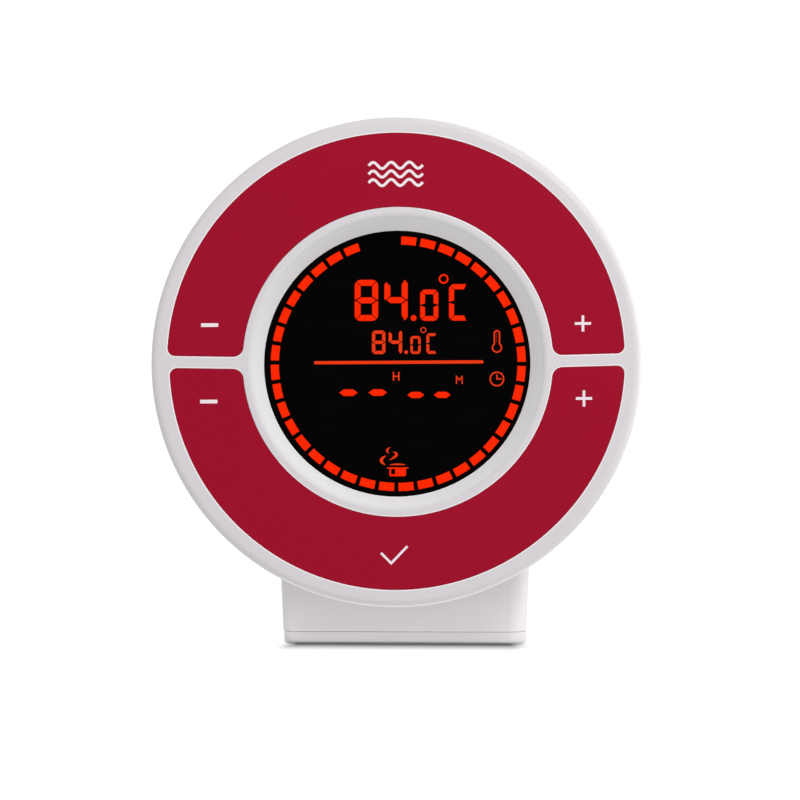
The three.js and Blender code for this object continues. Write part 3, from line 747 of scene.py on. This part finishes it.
def clock():
    x, z, r, w = 26.75, -4.35, 1.8, 0.36
    return ring_shape(x, z, r + w / 2, r - w / 2) + [stroke([(x, z + 1.25), (x, z), (x + 1.25, z)], w * 0.9)]


def cooking_pot():
    """The pot's body, and its handles, lid and steam."""
    left, right, low, top = -2.17, 2.36, -30.18, -27.8
    a, b = left + 0.5, left + 1.6  # the slit in its side
    side = [(left + 0.15, top), (left, low + 0.4), (left + 0.3, low), (left + 0.55, low), (a, top)]
    rest = [(b, top), (b, low), (right - 0.3, low), (right, low + 0.4), (right, top)]
    body = [side, rectangle(a, low, b + 0.05, low + 0.55), rectangle(a, top - 0.4, b + 0.05, top), rest]
    handles = [rectangle(-2.75, -28.12, left + 0.1, -27.82), rectangle(right - 0.1, -28.12, 3.0, -27.82)]
    lid = [(-2.2, -27.2), (2.4, -27.2), (1.7, -26.92), (0.8, -26.8), (-0.6, -26.8), (-1.5, -26.92)]
    steam = [crescent((-1.78, -22.4), (-2.72, -23.24), (-2.17, -24.14), 0.55),
             crescent((-1.28, -23.67), (-0.2, -24.5), (-2.29, -25.94), 0.7),
             crescent((-2.9, -24.64), (-4.28, -25.9), (-3.1, -27.2), 0.85)]
    return body, [*handles, lid, *steam]


def display_shapes():
    """The display's bright shapes and its finer ones."""
    marks, pitch, width, first = [], 9.0, 7.05, 1.6  # the ring of marks, in degrees
    for i in range(38):
        start = 90 - (first + pitch * i)
        marks.append(arc(0, 0, 34.12, start - width, start, 4) + arc(0, 0, 31.92, start, start - width, 4))
    figures = [
        digit(-11.61, 11.31, 6.54, 11.26, 1.80, "8"), digit(-3.57, 11.31, 6.47, 11.26, 1.80, "4"),
        digit(6.11, 11.23, 5.04, 8.58, 1.45, "0"), digit(13.85, 11.23, 4.83, 9.97, 1.55, "C"),
        [circle(4.40, 12.09, 0.78, 20)], ring_shape(12.51, 22.54, 1.32, 0.86)]
    small_figures = [
        digit(-6.89, 2.41, 3.75, 6.46, 1.02, "8"), digit(-2.39, 2.41, 3.76, 6.46, 1.02, "4"),
        digit(3.48, 2.41, 2.87, 4.91, 0.80, "0"), digit(7.80, 2.41, 2.71, 5.63, 0.88, "C"),
        [circle(2.41, 2.95, 0.49, 16)], ring_shape(7.02, 8.85, 0.79, 0.54)]
    line = rounded(-22.5, -0.19, 23.2, 0.67, 0.42)
    dashes = [dash(x, -7.83, 4.99, 1.77) for x in (-13.16, -5.25)]
    dashes += [dash(x, -8.52, 4.53, 1.66) for x in (4.99, 12.06)]
    pot, rest_of_pot = cooking_pot()
    bright = [*sum(figures, []), *dashes, *pot]
    fine = [*sum(small_figures, []), line, *letter_marks(), *thermometer(), *clock(), *rest_of_pot]
    bright, fine = ([[(x * TYPE_WIDTH + TYPE_SHIFT, z) for x, z in outline] for outline in outlines]
                    for outlines in (bright, fine))
    return marks + bright, fine


def build_head():
    piece("bezel", "white_shell", bezel(), "front_bezel")
    water = [wave(z) for z in (51.7, 49.4, 47.1)]
    tick = stroke([(-3.45, -50.8), (-0.75, -53.5), (3.5, -49.05)], 0.62)
    for name, side, marks in (("upper", 1, [minus(-49.1, 9.45), plus(49.6, 9.2), *water]),
                              ("lower", -1, [minus(-49.2, -10.9), plus(49.75, -10.5), tick])):
        panel = slab(grow(panel_outline(side), -0.02), on_front, PANEL_FRONT, 1.7, 0.1)
        piece(f"{name}_panel", "crimson_panel", panel, f"{name}_touch_panel")
        layer = printed(marks, PANEL_FRONT - 0.025, PANEL_FRONT + 0.05, on_face)
        piece(f"{name}_panel_marks", "white_shell", layer, bevel=None, look="printed_mark")
    window = slab(circle(0, 0, 37.9, ROUND), on_front, WINDOW, WINDOW + 2, 0.15)
    piece("display_window", "display_glass", window, "display_glass")
    for name, outlines, ending in zip(("segments", "icons"), display_shapes(), ("", "_fine")):
        layer = printed(outlines, WINDOW - 0.02, WINDOW + 0.05, on_display)
        piece(f"display_{name}", "display_light", layer, bevel=None, look="display_light" + ending)
    piece("rear_cover", "white_shell", rear_cover(), "head_rear_cover")
    for i, (x, z) in enumerate(SCREWS, 1):
        obj = screw(x, z, on_face, HEAD_DEPTH - 0.98, HEAD_DEPTH - 0.12, 1.2, 10.0)
        piece(f"case_screw_{i}", "steel", obj, f"head_screw_{i}")


# ---- the neck and the clip ----
def neck():
    """The bridge between head and leg, with the clip's channel through it and the cable's duct beside."""
    low, high = box_mm("neck_bridge")
    channel = rounded(-20, low.y + 1.8, 20, high.y - 1.8, 1.2)
    outer = rounded(low.x, low.y, high.x, high.y, 2.5)
    cutters = [slab(oblong(CABLE_X, 117, 3, 3.5, 1), along_y, low.y - 1, high.y + 1),
               slab(circle(*PIVOT, PIN_R + 0.3, 40), along_x, -22.5, 22.5),
               slab(oblong(0, 104, 20, 4, 1.5), along_y, low.y - 1, low.y + 3)]
    cutters += [slab(oblong(x, 108.5, 4, 2.5, 1.2), along_y, low.y - 1, low.y + 4) for x in (-26, 26)]
    return combine(plate([outer, channel], along_z, low.z, high.z, 0.8, 0.8), cutters)


def clip_lever():
    """A sprung arm with two knuckles on the pin, a ribbed thumb tab above and a pad seat below."""
    y, z = PIVOT
    side = [(y - 2, z + 3), (y - 3.2, 137.5, 1.2), (y - 2.9, 139, 0.8), (y - 1, 139, 1), (y + 2, z + 3, 3),
            (y + 2, z - 8, 12), (-12.4, 74, 12), (-12.4, 62, 0.8), (-14.4, 62, 0.9), (-14.2, 76, 14),
            (y - 2, z - 8, 12)]
    half = 18.5
    joined = [slab(circle(y, z, 4, 64), along_x, -half, half, 0.5, 0.5)]
    for low, lean in ((127, 0.62), (129.4, 0.48), (131.8, 0.33), (134.2, 0.18)):
        rib = rounded(y - 3.75 + lean, low, y - 2.2 + lean, low + 0.9, 0.4)
        joined.append(slab(rib, along_x, -13, 13, 0.3, 0.3))
    obj = combine(slab(filleted(side, 6, 0.5), along_x, -half, half, 0.6, 0.6), joined, "UNION")
    rooms = [slab(oblong(x, z, 4.5, 6, 1), along_y, y - 6, y + 6) for x in (-10.5, 10.5)]
    bore = slab(circle(y, z, PIN_R + 0.3, 40), along_x, -20, 20)
    windows = [slab(oblong(x, 94, 2, 10, 2), along_y, -30, 0) for x in (-12, -4, 4, 12)]
    return combine(obj, [*rooms, bore, *windows])


def ribbed(x0, x1, z0, z1, back, front, pitch, depth):
    """A rubber pad with rounded ribs across its front."""
    points, count = [], round((z1 - z0) / pitch)
    for i in range(count):
        for k in range(8):
            sunk = 1 - math.sin(math.pi * k / 8) ** 0.6
            points.append((front + depth * sunk, z0 + (z1 - z0) * (i + k / 8) / count))
    outline = turned([(back, z0), *points, (front + depth, z1), (back, z1)])
    return slab(outline, along_x, x0, x1, 0.35, 0.35)


def spring(side):
    """A torsion spring round the pin, with one short leg against the lever."""
    y, z = PIVOT
    turns, per_turn, inner, outer, radius = 7.25, 28, 7.2, 13.2, 3.0
    points = [Vector((side * 8.0, y - 2.7, z - 5.2))]
    for i in range(int(turns * per_turn) + 1):
        angle = 2 * math.pi * i / per_turn + math.pi
        x = inner + (outer - inner) * i / (turns * per_turn)
        points.append(Vector((side * x, y + radius * math.cos(angle), z + radius * math.sin(angle))))
    return Shape().tube(points, 0.4, 10)


def build_clip():
    piece("neck", "white_shell", neck(), "neck_bridge", 0.25)
    piece("clip", "grey_plastic", clip_lever(), "clip_lever", 0.2, "clip")
    pad = ribbed(-17.5, 17.5, 63, 73, -12.1, -9.6, 2.0, 0.5)
    piece("rim_pad", "rubber", pad, "clip_pad", body="clip")
    pin = [(0, -22), (PIN_R, -22, 0.4), (PIN_R, 22, 0.4), (0, 22)]
    piece("pivot_pin", "steel", lathe(pin, along_x, PIVOT, 40, 4), "clip_pin")
    for side, name in SIDES:
        piece(f"torsion_spring_{name}", "steel", spring(side), f"clip_spring_{name}", None)
        low, high = box_mm(f"grip_pad_{name}")
        pad = ribbed(low.x, high.x, low.z, high.z, high.y, low.y, 2.5, 0.45)
        piece(f"grip_{name}", "rubber", pad, f"grip_pad_{name}")
    bends = ((-28.6, 108), (-28.4, 114), (-25, 117), (-17, 117), (-9, 117), (-5, 117.5))
    lead = Shape().tube(smooth_path([(CABLE_X, *bend) for bend in bends], 8), 1.5, 20)
    piece("head_lead", "black_plastic", lead, "head_cable", None)


# ---- the immersion leg ----
def leg_outline(inset):
    return rounded(-LEG_HALF + inset, LEG_FRONT + inset, LEG_HALF - inset, LEG_BACK - inset,
                   max(LEG_CORNER - inset, 0.8), 10)


def openings(outlines, near, far):
    """Cutters through both sides of the leg, for outlines of (y, z)."""
    return [slab(outline, along_x, side * near, side * far) for side in (-1, 1) for outline in outlines]


def leg_housing():
    """The leg's sleeve, with intake slots low on its sides, the outlet's port and the level lines."""
    cutters = openings([oblong(LEG_MIDDLE - 15 + 6 * i, 30, 1.3, 14, 1.274) for i in range(6)], 28, 40)
    cutters.append(slab(oblong(0, 18, 9, 5, 1), along_y, LEG_BACK - 4, LEG_BACK + 1))
    notch = oblong(CABLE_X, LEG_TOP + 0.75, 3, 1.25, 0.2)
    cutters.append(slab(notch, along_y, LEG_FRONT - 1, LEG_FRONT + 4))
    cutters += [slab(oblong(0, z, half, 0.45, 0.44), along_y, LEG_BACK - 0.4, LEG_BACK + 1)
                for z, half in LEVELS]
    sleeve = [leg_outline(0), leg_outline(LEG_WALL)]
    return combine(plate(sleeve, on_leg, SEAM + SEAM_LIFT, LEG_TOP, 0.3, 0.3, 5), cutters)


def foot():
    """The bottom cover: a slotted plate with a rounded lower edge and a rim inside the leg."""
    proud, edge, lip, seat, rim = 0.14, 0.9, 0.25, SEAM + SEAM_LIFT - 0.03, box_mm("bottom_cover")[1].z
    levels = [(proud + inset, along) for inset, along in edge_steps(edge, 6)]
    levels += [(proud + inset, seat - along) for inset, along in reversed(edge_steps(lip, 4))]
    levels += [(2.3, seat), (2.3, rim - 0.3), (2.6, rim), (3.9, rim), (3.9, SEAM - 0.3)]
    slots = [slab(oblong(0, y, 13, 1.2, 1.18), along_z, -1, 6)
             for y in (AXIS[1] + 5.5 * i for i in range(-2, 3))]
    return combine(Shape().stack([(leg_outline(inset), z) for inset, z in levels], on_leg), slots)


def nozzle():
    """The water outlet: a flange with a slotted face."""
    low, high = box_mm("outlet_nozzle")
    z, step = (low.z + high.z) / 2, high.y - 2.2
    slots = [oblong(3.2 * i, z, 0.9, 3, 0.882) for i in range(-2, 3)]
    face, flange = oblong(0, z, 8.7, 4.7, 1), rounded(low.x, low.z, high.x, high.z, 1.5)
    shape = plate([face, *slots], along_y, high.y, step, 0.4)
    return shape.plate([flange, *slots], along_y, step, low.y, 0.2, 0.2)


def top_cover():
    """The top housing: a hollow cap with a large soft edge, side vents and the inlet's opening."""
    low, high = (corner.z for corner in box_mm("top_cover"))
    edge = 4.0
    levels = [(LEG_WALL + inset, high - LEG_WALL - along) for inset, along in edge_steps(edge - LEG_WALL, 6)]
    levels += [(LEG_WALL, low), (0.35, low), (0.1, low + 0.1), (0, low + 0.35)]
    levels += [(inset, high - along) for inset, along in reversed(edge_steps(edge, 10))]
    cutters = openings([oblong(LEG_MIDDLE - 10 + 5 * i, 123.5, 1.1, 5.5, 1.078) for i in range(5)], 30, 50)
    cutters.append(slab(oblong(0, INLET_Z, 9.3, 5.8, 1.3), along_y, LEG_BACK - 4, LEG_BACK + 4))
    cable_way = rounded(CABLE_X - 3.3, low - 3, CABLE_X + 3.3, 121, 1)
    cutters.append(slab(cable_way, along_y, LEG_FRONT - 1, LEG_FRONT + 4))
    hole = [(r, LEG_BACK + y) for r, y in ((0, -4), (1.7, -4), (1.7, -1.2), (3, -1.2), (3, 1), (0, 1))]
    cutters += [lathe(hole, along_y, (x, INLET_Z), 40) for x in (-22, 22)]
    return combine(Shape().stack([(leg_outline(inset), z) for inset, z in levels], on_leg), cutters)


def inlet():
    """The socket for the mains lead: a flanged block with a round-ended well."""
    z, face, back, floor = INLET_Z, LEG_BACK - 2.3, LEG_BACK - 4, LEG_BACK - 8
    block, well, flange = oblong(0, z, 9, 5.5, 1.1), oblong(0, z, 7.2, 3.6, 3.5, 10), oblong(0, z, 11, 7, 1.5)
    holes = [circle(x, z, 1.3, 32) for x in (-4.3, 4.3)]
    shape = plate([block, well], along_y, LEG_BACK - 0.4, face, 0.35)
    shape.plate([flange, well], along_y, face, back, 0.3, 0.3).plate([block, well], along_y, back, floor)
    return shape.plate([block, *holes], along_y, floor, floor - 2, 0, 0.4)


def build_leg():
    piece("leg", "white_shell", leg_housing(), "leg_housing", 0.22)
    lines = [oblong(0, z, half - 0.1, 0.35, 0.34) for z, half in LEVELS]
    piece("level_lines", "grey_plastic", printed(lines, LEG_BACK - 0.35, LEG_BACK - 0.5, along_y), bevel=None)
    piece("foot", "white_shell", foot(), "bottom_cover", 0.25)
    piece("nozzle", "grey_plastic", nozzle(), "outlet_nozzle")
    piece("top", "white_shell", top_cover(), "top_cover", 0.22)
    piece("socket", "black_plastic", inlet(), "mains_inlet")
    contact = [(0, 36), (1.2, 36, 0.2), (1.2, 45.5, 1.1), (0, 45.5)]
    for side, name in SIDES:
        pin = lathe(contact, along_y, (side * 4.3, INLET_Z), 32)
        piece(f"contact_{name}", "brass_pin", pin, f"inlet_pin_{name}")
        obj = screw(side * 22, INLET_Z, along_y, LEG_BACK - 1.1, LEG_BACK - 0.15, 1.3, 37.0, 0.87)
        piece(f"top_screw_{name}", "steel", obj, f"cover_screw_{name}")


# ---- what lies inside the leg ----
def ball_bearing(z):
    """The profile of a bearing's two races and the sunk shields between them."""
    end, sunk = z + 4, z + 0.4
    near = [(2.3, z, 0.3), (3.4, z, 0.1), (3.5, sunk, 0.1), (4.8, sunk, 0.1), (4.9, z, 0.1), (6, z, 0.4)]
    return near + [(radius, end - (height - z), size) for radius, height, size in reversed(near)]


UPRIGHT = {  # piece: (CAD node, slot, centre, profile of radius and height)
    "probe": ("temperature_probe", "steel", PROBE,
              [(0, 22), (1.9, 22, 1.8), (1.9, 58), (1.9, 70, 0.4), (0, 70)]),
    "low_sensor": ("low_level_sensor", "steel", LOW_SENSOR,
                   [(0, 26), (1.5, 26, 1.3), (1.5, 70, 0.3), (0, 70)]),
    "high_sensor": ("high_level_sensor", "steel", HIGH_SENSOR,
                    [(0, 50), (1.5, 50, 1.3), (1.5, 70, 0.3), (0, 70)]),
    "shaft": ("motor_shaft", "steel", AXIS, [(0, 15), (2, 15, 0.5), (2, 108, 0.5), (0, 108)]),
    "lip_seal": ("shaft_seal", "rubber", AXIS,
                 [(2.3, 61.4, 0.3), (5.3, 61.4, 0.5), (5.3, 66, 0.5), (4.3, 66, 0.2), (3.6, 64.3, 0.4),
                  (3, 66, 0.2), (2.3, 66, 0.2)]),
    "bearing_low": ("lower_bearing", "steel", AXIS, ball_bearing(69.6)),
    "bearing_high": ("upper_bearing", "steel", AXIS, ball_bearing(98.8)),
    "can": ("motor_can", "aluminium", AXIS,
            [(6.3, 72, 0.3), (16, 72, 1.8), (16, 98, 0.3), (15, 98, 0.2), (15, 73, 1), (6.3, 73, 0.3)]),
    "end_cap": ("motor_end_cap", "aluminium", AXIS,
                [(6.3, 98.3, 0.2), (16, 98.3, 0.4), (16, 100, 1), (9, 101.2, 0.8), (9, 103.4, 0.6),
                 (6.3, 103.4, 0.3)]),
    "stator": ("motor_stator", "copper_winding", AXIS,
               [(9.4, 75, 1.8), (14.7, 75, 2.2), (14.7, 95, 2.2), (9.4, 95, 1.8)]),
    "rotor": ("motor_rotor", "steel", AXIS,
              [(2.3, 75.4, 0.3), (8.8, 75.4, 0.5), (8.8, 94.6, 0.5), (2.3, 94.6, 0.3)]),
    "capacitor_can": ("capacitor", "aluminium", (16, 3),
                      [(0, 114.6), (6, 114.6, 0.6), (6, 116.4, 0.5), (5.4, 117.1, 0.5), (6, 117.8, 0.5),
                       (6, 130, 0.8), (5.1, 130, 0.3), (4.9, 129.6, 0.2), (0, 129.6)]),
}


def heater():
    """One tube: down through the partition, round the helix, and back up inside its turns."""
    x, y = AXIS
    bottom, pitch, turns, per_turn = 34.0, 7.6, 3.5, 40
    top, end = bottom + pitch * 3, bottom - pitch / 2
    through = [68.6, 65.0, 61.6]  # heights where a tail runs through the partition
    points = [(COIL_FAR, y, z) for z in (*through, top + 2.6)]
    for i in range(3, int(turns * per_turn) + 1):
        angle = 2 * math.pi * i / per_turn
        down = pitch * i / per_turn
        points.append((x + COIL_FAR * math.cos(angle), y + COIL_FAR * math.sin(angle), top - down))
    points += [(-COIL_FAR + 3.6, y - 3.2, end - 1), (-COIL_NEAR, y - 1, end + 2.4)]
    points += [(-COIL_NEAR, y, z) for z in (end + 8, end + 20, *through[::-1])]
    return Shape().tube(smooth_path(points, 3), COIL_TUBE, 20)


def spoke(turn, reach, middle, lean=0.0, sweep=0.0):
    """A place function for a blade: along the radius, across it, and through its thickness."""
    def place(along, across, height):
        swirl = turn + sweep * (along / reach) ** 2
        tilt = lean * (1 - 0.5 * along / reach)
        side = across * math.cos(tilt) - height * math.sin(tilt)
        up = across * math.sin(tilt) + height * math.cos(tilt)
        x = AXIS[0] + along * math.cos(swirl) - side * math.sin(swirl)
        y = AXIS[1] + along * math.sin(swirl) + side * math.cos(swirl)
        return Vector((x, y, middle + up)) * MM
    return place


def pump_wheel():
    """The impeller: a hub and a disc with six swept vanes under it."""
    wheel = lathe([(2.3, 15.2, 0.2), (4.2, 15.2, 0.6), (4.2, 18.5, 0.5), (14, 18.5, 0.4), (14, 20, 0.4),
                   (5, 20, 1.5), (4.2, 22.2, 0.6), (2.3, 22.2, 0.2)], along_z, AXIS)
    shares = [i / 12 for i in range(13)]
    vane = [(3 + 10 * t, -0.65 + 0.2 * t) for t in shares] + [(13 - 10 * t, 0.45 + 0.2 * t) for t in shares]
    for i in range(6):
        wheel.plate([turned(vane)], spoke(2 * math.pi * i / 6, 13.6, 16.6, sweep=0.55), -2.0, 2.1, 0.3)
    return wheel


def fan():
    """The motor's cooling fan: a cap on the shaft with seven leaning blades."""
    cap = [(0, 109), (4.5, 109, 0.9), (4.5, 104.6, 0.3), (2.3, 104.6, 0.2), (2.3, 108.4, 0.1), (0, 108.4)]
    wheel = lathe(cap, along_z, AXIS)
    low, high = box_mm("cooling_fan")
    shares = [i / 10 for i in range(11)]
    blade = [(3.9 + 9.9 * t, -2.1 - 0.35 * math.sin(math.pi * t)) for t in shares]
    blade += [(13.8 - 9.9 * t, 2.1) for t in shares]
    for i in range(7):
        place = spoke(2 * math.pi * i / 7, 14.0, (low.z + high.z) / 2, lean=0.55)
        wheel.plate([turned(blade)], place, -0.4, 0.4, 0.24, 0.24)
    return wheel


def volute():
    """The pump's cup with its outlet duct."""
    cup = [(7, 11.5, 0.4), (18, 11.5, 1.2), (18, 25, 1.2), (6, 25, 0.4), (6, 23.4, 0.3), (16.4, 23.4, 0.8),
           (16.4, 13.1, 0.8), (7, 13.1, 0.3)]
    duct = slab(oblong(0, 18, 8, 4.6, 1.2), along_y, AXIS[1] + 15.5, LEG_BACK - 6)
    way = slab(oblong(0, 18, 6.6, 3.2, 0.8), along_y, AXIS[1] + 7, LEG_BACK - 5)
    return combine(combine(lathe(cup, along_z, AXIS, 96), [duct], "UNION"), [way])


def bracket():
    """The plate that holds the motor, on four feet."""
    low, high = box_mm("motor_bracket")
    outline = rounded(low.x, low.y, high.x, high.y, 2)
    shape = plate([outline, circle(*AXIS, 6.3, 48)], along_z, high.z - 2, high.z, 0.2, 0.3)
    for x in (-14.5, 14.5):
        for y in (low.y + 2.5, high.y - 2.5):
            shape.plate([oblong(x, y, 1.5, 2.5, 0.5)], along_z, low.z, high.z - 1.9, 0.3)
    return shape


def partition():
    """The plate between the wet and the dry chamber, with a hole for each thing that passes it."""
    low, high = box_mm("partition_plate")
    holes = [circle(*AXIS, 5.6, 48), circle(COIL_FAR, AXIS[1], COIL_TUBE + 0.5, 40),
             circle(-COIL_NEAR, AXIS[1], COIL_TUBE + 0.4, 40), circle(*PROBE, 2.3, 32)]
    holes += [circle(*at, 1.9, 32) for at in (LOW_SENSOR, HIGH_SENSOR)]
    return plate([leg_outline(2.5), *holes], on_leg, low.z, high.z, 0.3, 0.3)


def heatsink():
    """An extruded comb of five fins."""
    low, high = box_mm("triac_heatsink")
    base, right = low.y + 2, high.x - 0.4
    comb = [(low.x, low.y), (right, low.y), (right, base)]
    for i in range(4, -1, -1):
        left = low.x + 3.3 * i
        comb += [(left + 1.4, base), (left + 1.4, high.y), (left, high.y), (left, base)]
    comb = [p for i, p in enumerate(comb) if i == 0 or p != comb[i - 1]][:-1]
    return slab(turned(filleted(comb, 3, 0.3)), along_z, low.z, high.z, 0.1, 0.1)


def build_transformer():
    """A laminated core round an enamelled winding."""
    low, high = box_mm("transformer")
    outside = rectangle(low.x, low.z, high.x, high.z)
    window = rectangle(low.x + 4, low.z + 3.6, high.x - 4, high.z - 3.6)
    core = plate([outside, window], along_y, low.y + 3.5, high.y - 3.5, 0.2, 0.2)
    wire = rounded(low.x + 3.2, low.y, high.x - 3.2, high.y, 3)
    coil = slab(wire, along_z, low.z + 3.4, high.z - 3.4, 1.2, 1.2)
    piece("core", "steel", core)
    piece("winding", "copper_winding", coil, "transformer")


def build_chips(name, slot, spots, depth):
    """Small parts on the logic board: each spot is (x, z, width, height, thickness)."""
    shape = Shape()
    for x, z, width, height, thick in spots:
        shape.plate([rounded(x, z, x + width, z + height, 0.3)], on_face, depth, depth + thick, 0.0, 0.2)
    piece(name, slot, shape)


def disc(node, edges, *rings):
    """A round plate as deep in the head as a CAD node. The rings are (radius, steps)."""
    low, high = box_mm(node)
    return plate([circle(0, 0, *ring) for ring in rings], on_face, low.y - FRONT, high.y - FRONT, *edges)


def build_boards():
    face, back = 13.6, 15.2  # depths of the logic board
    notches = [circle(x, z, 1.6, 24) for x, z in ((-30, -30), (30, 30), (-30, 30), (34, -28))]
    logic = plate([circle(0, 0, 50, 160), *notches], on_face, face, back, 0.1, 0.1)
    piece("logic_board", "circuit_board", logic, "control_board")
    outer = box_mm("touch_sensor_board")[1].x
    sensor = disc("touch_sensor_board", (0.1, 0.1), (outer, 160), (44.2, 128))
    sensor = combine(sensor, [slab(circle(*at, 4, 32), on_face, 0, 9) for at in SCREWS])
    piece("sensor_board", "circuit_board", sensor, "touch_sensor_board")
    chips = [(-14, -10, 12, 12, 1.4), (8, -14, 9, 6, 1.2), (-30, 12, 6, 14, 3.2), (20, 14, 10, 8, 2.4),
             (26, -20, 7, 6, 3)]
    build_chips("logic_chips", "black_plastic", chips, back)
    rows = [(-40 + 3.1 * i, 30 - 2.2 * (i % 5)) for i in range(10)]
    rows += [(-8 + 2.6 * i, 24 + (i % 3) * 4) for i in range(12)]
    rows += [(-34 + 2.9 * i, -18 - (i % 4) * 3) for i in range(14)]
    build_chips("logic_passives", "grey_plastic", [(x, z, 1.6, 0.8, 0.6) for x, z in rows], back)
    module = disc("display_module", (0.3, 0.6), (30.8, 128))
    piece("lamp_module", "black_plastic", module, "display_module")
    guide = disc("light_guide_ring", (0.3, 0.3), (35.5, 144), (31.2, 144))
    piece("guide", "display_light", guide, "light_guide_ring", look="light_guide")
    low, high = box_mm("buzzer")
    y0, y1, middle = low.y, high.y, (low + high) / 2
    cup = [(0, y0), (4.5, y0, 0.3), (4.5, y1, 0.5), (0.9, y1, 0.2), (0.9, y1 - 1), (0, y1 - 1)]
    sounder = lathe(cup, along_y, (middle.x, middle.z), 48)
    piece("sounder", "black_plastic", sounder, "buzzer")


def build_inside():
    for name, (node, slot, centre, profile) in UPRIGHT.items():
        body = "pump_rotor" if name in ("shaft", "rotor") else "casing"
        piece(name, slot, lathe(profile, along_z, centre, 64, 6), node, body=body)
    for name, node, slot, edge, corner in (("power_circuit", "power_board", "circuit_board", 0.1, 1.5),
                                           ("relay_case", "relay", "black_plastic", 0.6, 1.0)):
        low, high = box_mm(node)
        block = slab(rounded(low.x, low.y, high.x, high.y, corner), along_z, low.z, high.z, edge, edge)
        piece(name, slot, block, node)
    piece("heating_tube", "steel", heater(), "heater_coil", None)
    piece("pump_wheel", "grey_plastic", pump_wheel(), "impeller", body="pump_rotor")
    piece("fan_wheel", "black_plastic", fan(), "cooling_fan", body="pump_rotor")
    piece("volute", "black_plastic", volute(), "pump_volute", 0.2)
    piece("bracket", "steel", bracket(), "motor_bracket")
    piece("partition", "grey_plastic", partition(), "partition_plate")
    piece("heatsink", "aluminium", heatsink(), "triac_heatsink")
    low, high = box_mm("partition_seal")
    gasket = plate([leg_outline(2.3), leg_outline(4.5)], on_leg, low.z, high.z, 0.7, 0.7, 5)
    piece("gasket", "rubber", gasket, "partition_seal")
    build_transformer()
    build_boards()


# ---- camera, floor and light ----
# The foot's shadow on the table is painted into the table's glow by the numbers below.
SHADOW_REACH = 28.0  # how far in front of the foot its shadow fades out
SHADOW_SQUEEZE = 5.0  # how many times shorter the shadow is at the foot's sides
SHADOW_INSET = 4.5  # the shadow's dark middle is this much narrower than the foot on each side
SHADOW_STEPS = ((0.12, 0.3), (0.35, 0.55), (0.6, 0.8), (0.85, 0.98))  # share of the reach, brightness
FLOOR_GLOW = 1.05
FLOOR_HALF, WALL_HEIGHT = 6000, 4000
TENT_LEVEL, TENT_LEAN = 0.93, (0.1, 0.13, 0.05)  # the white tent's light, and which way it grows brighter


def aimed(data, spot, aim):
    """A camera or light at a spot, in millimetres, that points at another."""
    obj = bpy.data.objects.new(data.name, data)
    obj.location = Vector(spot) * MM
    obj.rotation_euler = (Vector(aim) - Vector(spot)).to_track_quat("-Z", "Y").to_euler()
    scene.collection.objects.link(obj)
    return obj


def build_camera():
    """A view from slightly below and slightly to the right of the head's axis."""
    distance, right, height = 500.0, 34.0, 33.0
    data = adjust(bpy.data.cameras.new("camera"), sensor_width=36, lens=85.9, clip_start=0.01, clip_end=50)
    scene.camera = aimed(data, (right, FRONT - distance, height), (1.55, FRONT, HEAD_Z - 10.7))


def build_stage():
    """A white table that glows evenly except for a painted shadow that darkens it softly where the foot
    stands, and a white wall far off.
    """
    table = rectangle(-FLOOR_HALF, -FLOOR_HALF, FLOOR_HALF, FLOOR_HALF)
    floor = solid(slab(table, along_z, -0.02, -20), "floor")
    n = look("floor")
    middle = (0.0, LEG_MIDDLE * MM, 0.0)
    half = ((LEG_HALF - SHADOW_INSET) * MM, (LEG_BACK - LEG_FRONT) / 2 * MM, 0.0)
    # painted shadow: the glow grows darker the nearer a point lies to the foot's outline
    away = n.vector("SUBTRACT", n.vector("ABSOLUTE", n.vector("SUBTRACT", n.place, middle)), half)
    outside = n.vector("MAXIMUM", away, (0, 0, 0))
    reach = n.vector("LENGTH", n.vector("MULTIPLY", outside, (SHADOW_SQUEEZE, 1, 0)), output="Value")
    ramp = n.new("ValToRGB", [("Fac", n.range(reach, 0, 1, 0, SHADOW_REACH * MM))])
    stops = ramp.color_ramp.elements
    stops[0].position, stops[0].color = 0.0, (0.16, 0.155, 0.16, 1)
    stops[1].position, stops[1].color = 1.0, (FLOOR_GLOW, FLOOR_GLOW, FLOOR_GLOW, 1)
    for position, level in SHADOW_STEPS:
        stops.new(position).color = (level, level, level, 1)
    n.glow(ramp.outputs["Color"], 1.0)
    outlines = [circle(0, 0, FLOOR_HALF - inset, 96) for inset in (50, 100)]
    wall = solid(plate(outlines, along_z, -5, WALL_HEIGHT), "backdrop")
    wall.visible_diffuse = wall.visible_glossy = wall.visible_transmission = False
    look("backdrop").glow((1, 1, 1, 1), FLOOR_GLOW)
    for obj in (floor, wall):
        obj.data.materials.append(LOOKS[obj.name])


def lamp(name, spot, aim, size, power, seen=True):
    """A soft light of a width and height, placed and aimed in millimetres."""
    data = bpy.data.lights.new(name, "AREA")
    adjust(data, shape="RECTANGLE", size=size[0] * MM, size_y=size[1] * MM, energy=power)
    aimed(data, spot, aim).visible_camera = seen


def build_light():
    """A white tent, a key from the upper right, a fill on the right edge and a bounce before the foot."""
    scene.world = bpy.data.worlds.new("tent")
    n = Nodes(scene.world, "Background", "Generated")
    lean = n.vector("DOT_PRODUCT", n.place, TENT_LEAN, output="Value")
    level = n.new("Math", [(0, lean), (1, TENT_LEVEL)], operation="ADD")
    n.set(Color=(1, 0.985, 0.995, 1), Strength=level.outputs["Value"])
    lamp("key", (280, FRONT - 480, HEAD_Z + 420), (0, FRONT, HEAD_Z), (300, 300), 2.4)
    lamp("edge", (420, 60, 150), (60, 0, 70), (350, 350), 1.0)
    lamp("bounce", (13, LEG_FRONT - 16.6, 0.6), (13, LEG_FRONT - 16.7, 60), (112, 33), 0.0142, seen=False)
    scene.view_settings.view_transform = "Standard"


build_head()
build_clip()
build_leg()
build_inside()
build_camera()
build_stage()
build_light()
